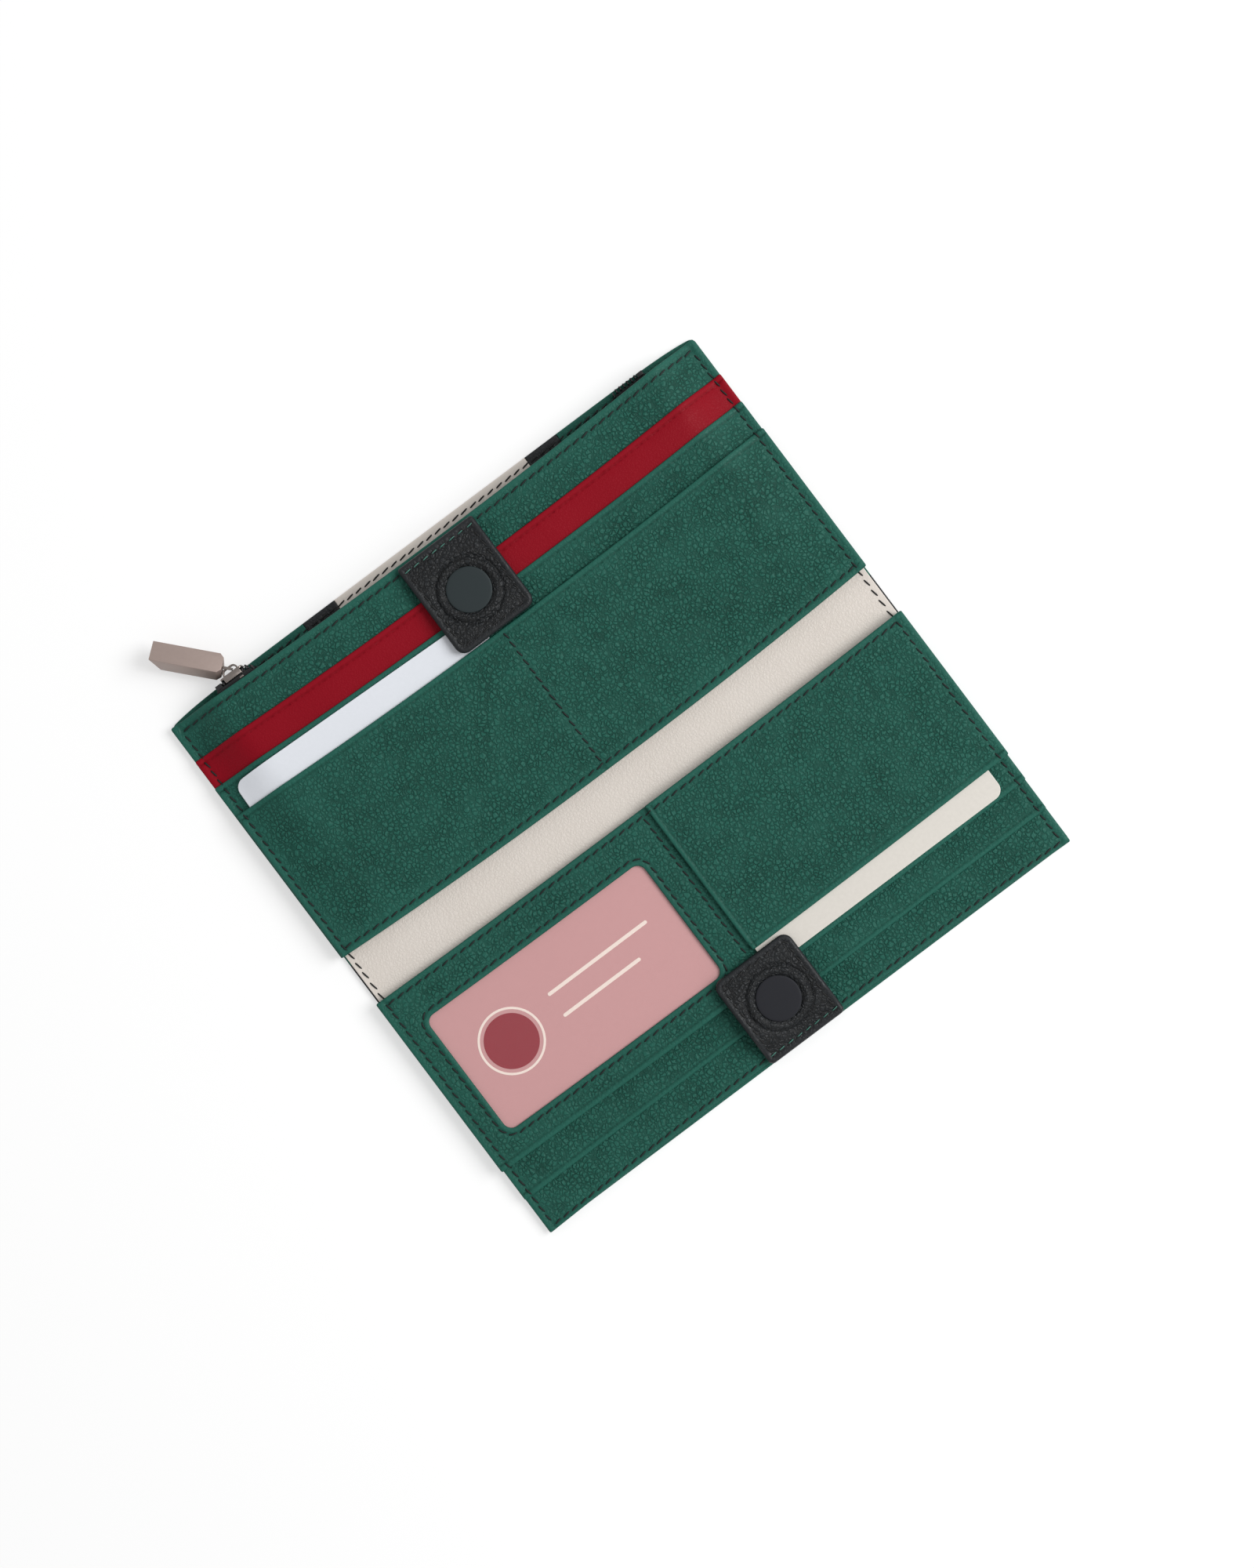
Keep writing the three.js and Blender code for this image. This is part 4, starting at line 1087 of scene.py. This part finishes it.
def makeSeams():
    p = seamPlaces
    left, right, mouth, bottom = p["left"], p["right"], p["mouth"], p["bottom"]
    x0, x1 = tabs["upperTab"]["x"]
    sew("mouthSeamLeft", 2, "upper_half", straight(left, mouth, x0, mouth))
    sew("mouthSeamRight", 3, "upper_half", straight(x1, mouth, right, mouth))
    for k, (side, x) in enumerate((("Left", left), ("Right", right))):
        for part, seed in (("upper", 4), ("lower", 6)):
            y0, y1 = p[part + "Sides"]
            sew(f"{part}Side{side}", seed + k, part + "_half", straight(x, y0, x, y1, 1.0))
    y = p["upperSpine"]
    sew("pocketSpineSeam", 8, "upper_half", straight(left, y, right, y))
    stitches("pocketCentreSeam", [(p["centre"], y) for y in p["centreEnds"]], upperTop,
             "upper_half", seed=9)
    x, y, (y0, y1) = p["pocketSide"], p["lowerSpine"], p["pocketEnds"]
    sew("lowerSpineSeam", 10, "lower_half", straight(left, y, right, y))
    sew("pocketSideSeam", 11, "lower_half", straight(x, y0, x, y1))
    sew("windowSeam", 12, "lower_half", windowSeam())
    x0, x1 = tabs["lowerTab"]["x"]
    sew("bottomSeamLeft", 13, "lower_half", straight(left, bottom, x0, bottom))
    sew("bottomSeamRight", 14, "lower_half", straight(x1, bottom, right, bottom))
    hem = moved(straight(-93.0, p["hem"], 93.0, p["hem"]), coverShift)
    stitches("hemSeam", hem, level(coverEdge["z"][1]), "upper_half", "blackThread", length=2.8,
             width=0.5, seed=15)
    makeTabSeam("upperTab", 20)
    makeTabSeam("lowerTab", 23)


# a thread round the tab's free edge and a row across its sewn end
def makeTabSeam(name, seed):
    s = tabs[name]
    (x0, x1), (y0, y1), z, sewn = s["x"], s["y"], s["z"][1], s["sewn"]
    path = insetLoop(rounded(x0, x1, y0, y1, s["radii"], step=0.8), tabEdge["seam"])
    out = math.copysign(1, sewn)
    path = path[path[:, 1] * out < sewn * out + 0.3]
    away = path - np.array(s["disc"])
    turn = np.unwrap(np.arctan2(away[:, 1], away[:, 0]) - out * math.pi / 2) % (2 * math.pi)
    path = path[np.argsort(turn)]

    def height(x, y):
        return z - 0.10 + tabLift(s)(x, np.asarray(y, float))

    stitches(name + "Seam", path, height, s["body"], "blackThread", seed=seed)
    row = straight(x0 + 0.7, sewn, x1 - 0.7, sewn)
    stitches(name + "SewnSeam", row, lambda x, y: height(x, y) + 0.1, s["body"], "greenThread",
             length=2.1, width=0.36, tilt=0.06, seed=seed + 1)


# the outside: thread round the covers' edges, beside the spine and along the colour blocks
outerSeams = {"edge": 2.0, "mouthMore": 0.4, "spineGap": 1.6, "blockGap": 1.5, "depth": 0.06,
              "thread": 0.36, "end": 93, "side": 93.2, "blocks": (34.8, 46.3)}


def makeOuterSeams():
    s, c = outerSeams, coverEdge
    top, bottom = c["upperEnd"] - s["edge"] - s["mouthMore"], c["lowerEnd"] + s["edge"]
    upper, lower = c["foldUpper"] + s["spineGap"], c["foldLower"] - s["spineGap"]
    inner, outer = s["blocks"][0] - s["blockGap"], s["blocks"][1] + s["blockGap"]
    w = s["end"]
    rows = [("outerMouth", "upper_half", "blackThread", -w, top, w, top),
            ("outerBottom", "lower_half", "darkThread", -w, bottom, w, bottom),
            ("outerSpineUpper", "upper_half", "blackThread", -w, upper, w, upper),
            ("outerSpineLower", "lower_half", "darkThread", -w, lower, w, lower)]
    for k, out in enumerate((-1, 1)):
        x, x0, x1 = out * s["side"], out * inner, out * outer
        rows += [
            (f"outerUpperSide{k}", "upper_half", "darkThread", x, top - 1.6, x, upper + 1.6),
            (f"outerLowerSide{k}", "lower_half", "darkThread", x, lower - 1.6, x, bottom + 1.6),
            (f"blockSeamInner{k}", "upper_half", "blackThread", x0, upper + 2, x0, top - 2),
            (f"blockSeamOuter{k}", "upper_half", "darkThread", x1, upper + 2, x1, top - 2),
        ]
    for k, (name, body, thread, *ends) in enumerate(rows):
        stitches(name, moved(straight(*ends), coverShift), level(s["depth"]), body, thread,
                 width=s["thread"], seed=50 + k, under=True)


def makeSpineSeams():
    middle, top = coverEdge["middle"], level(spineShape["liningZ"][1])
    sides = ("Left", seamPlaces["left"] - 0.2), ("Right", seamPlaces["right"] + 0.2)
    for k, (side, x) in enumerate(sides):
        for end, y0, y1 in (("Lower", -9.4, middle), ("Upper", middle, 9.4)):
            thread = stitches(f"spineSeam{side}{end}", straight(x, y0, x, y1, 0.5), top,
                              None, "blackThread", pitch=3.6, length=2.9, width=0.5, seed=30 + k)
            bendAcross(thread, end == "Lower", "blackThread")


makeSeams()
makeSpineSeams()
makeOuterSeams()
print("seams made")

# stage: white table, broad soft light from the right of the picture, camera straight above
stageLook = {"floor": (252, 252, 252), "tableHalf": 12000, "fadeFrom": 0.22, "fadeTo": 0.8,
             "shadowFill": 0.5, "worldLevel": 0.56, "keyPlace": (0.97, -0.3, 1.08),
             "keySize": 0.9, "keyPower": 18.6, "cameraPlace": (1.45, -0.8),
             "cameraHeight": 1.0027, "cameraTurn": -36.95, "lens": 78.6, "sensor": 36.0}


def calculated(nodes, links, operation, a, b):
    node = nodes.new("ShaderNodeMath")
    node.operation = operation
    links.new(a, node.inputs[0])
    links.new(b, node.inputs[1])
    return node.outputs[0]


# 1 for what the camera sees, by itself or through the film, and 0 for light that bounces
def seenByEye(nodes, links):
    path = nodes.new("ShaderNodeLightPath")
    return calculated(nodes, links, "MAXIMUM", path.outputs["Is Camera Ray"],
                      path.outputs["Is Transmission Ray"])


# the table: plain white to the eye far from the wallet
def makeTable(s):
    w = s["tableHalf"]
    floor = newObject("table", [(-w, -w, 0), (w, -w, 0), (w, w, 0), (-w, w, 0)], [(0, 1, 2, 3)])
    mat, nodes, links, shader = newMaterial("tableWhite")
    shader.inputs["Base Color"].default_value = (*linear(s["floor"]), 1)
    shader.inputs["Roughness"].default_value = 0.9
    shader.inputs["Specular IOR Level"].default_value = 0.0
    floor.data.materials.append(mat)
    distance = nodes.new("ShaderNodeVectorMath")
    distance.operation = "LENGTH"
    links.new(nodes.new("ShaderNodeTexCoord").outputs["Object"], distance.inputs[0])
    far = addRange(nodes, links, distance.outputs["Value"], s["shadowFill"], 1.0, s["fadeTo"],
                   "SMOOTHSTEP")
    far.node.inputs["From Min"].default_value = s["fadeFrom"]
    share = calculated(nodes, links, "MULTIPLY", far, seenByEye(nodes, links))
    blend = nodes.new("ShaderNodeMixShader")
    links.new(share, blend.inputs["Fac"])
    links.new(shader.outputs[0], blend.inputs[1])
    links.new(nodes.new("ShaderNodeEmission").outputs[0], blend.inputs[2])
    links.new(blend.outputs[0], nodes["Material Output"].inputs["Surface"])
    floor.location.z = -0.0002


# an even white room, brighter to the eye than as a light
def makeRoom(s):
    world = bpy.data.worlds.new("studio")
    bpy.context.scene.world = world
    world.use_nodes = True
    nodes, links = world.node_tree.nodes, world.node_tree.links
    back = nodes["Background"]
    back.inputs["Color"].default_value = (1, 1, 1, 1)
    level = addRange(nodes, links, seenByEye(nodes, links), s["worldLevel"], 1.0)
    links.new(level, back.inputs["Strength"])


def makeLamp(s):
    lamp = bpy.data.lights.new("softbox", "AREA")
    lamp.size = s["keySize"]
    lamp.energy = s["keyPower"]
    key = bpy.data.objects.new("softbox", lamp)
    key.location = s["keyPlace"]
    key.rotation_euler = Vector(s["keyPlace"]).to_track_quat("Z", "Y").to_euler()
    bpy.context.scene.collection.objects.link(key)


def makeCamera(s):
    view = bpy.data.cameras.new("camera")
    view.sensor_fit = "VERTICAL"
    view.sensor_height = s["sensor"]
    view.lens = s["lens"]
    view.clip_start = 0.05
    camera = bpy.data.objects.new("camera", view)
    camera.location = (s["cameraPlace"][0] * mm, s["cameraPlace"][1] * mm, s["cameraHeight"])
    camera.rotation_euler = (0, 0, math.radians(s["cameraTurn"]))
    bpy.context.scene.collection.objects.link(camera)
    bpy.context.scene.camera = camera
    bpy.context.scene.view_settings.view_transform = "Standard"


makeTable(stageLook)
makeRoom(stageLook)
makeLamp(stageLook)
makeCamera(stageLook)
print("stage made")
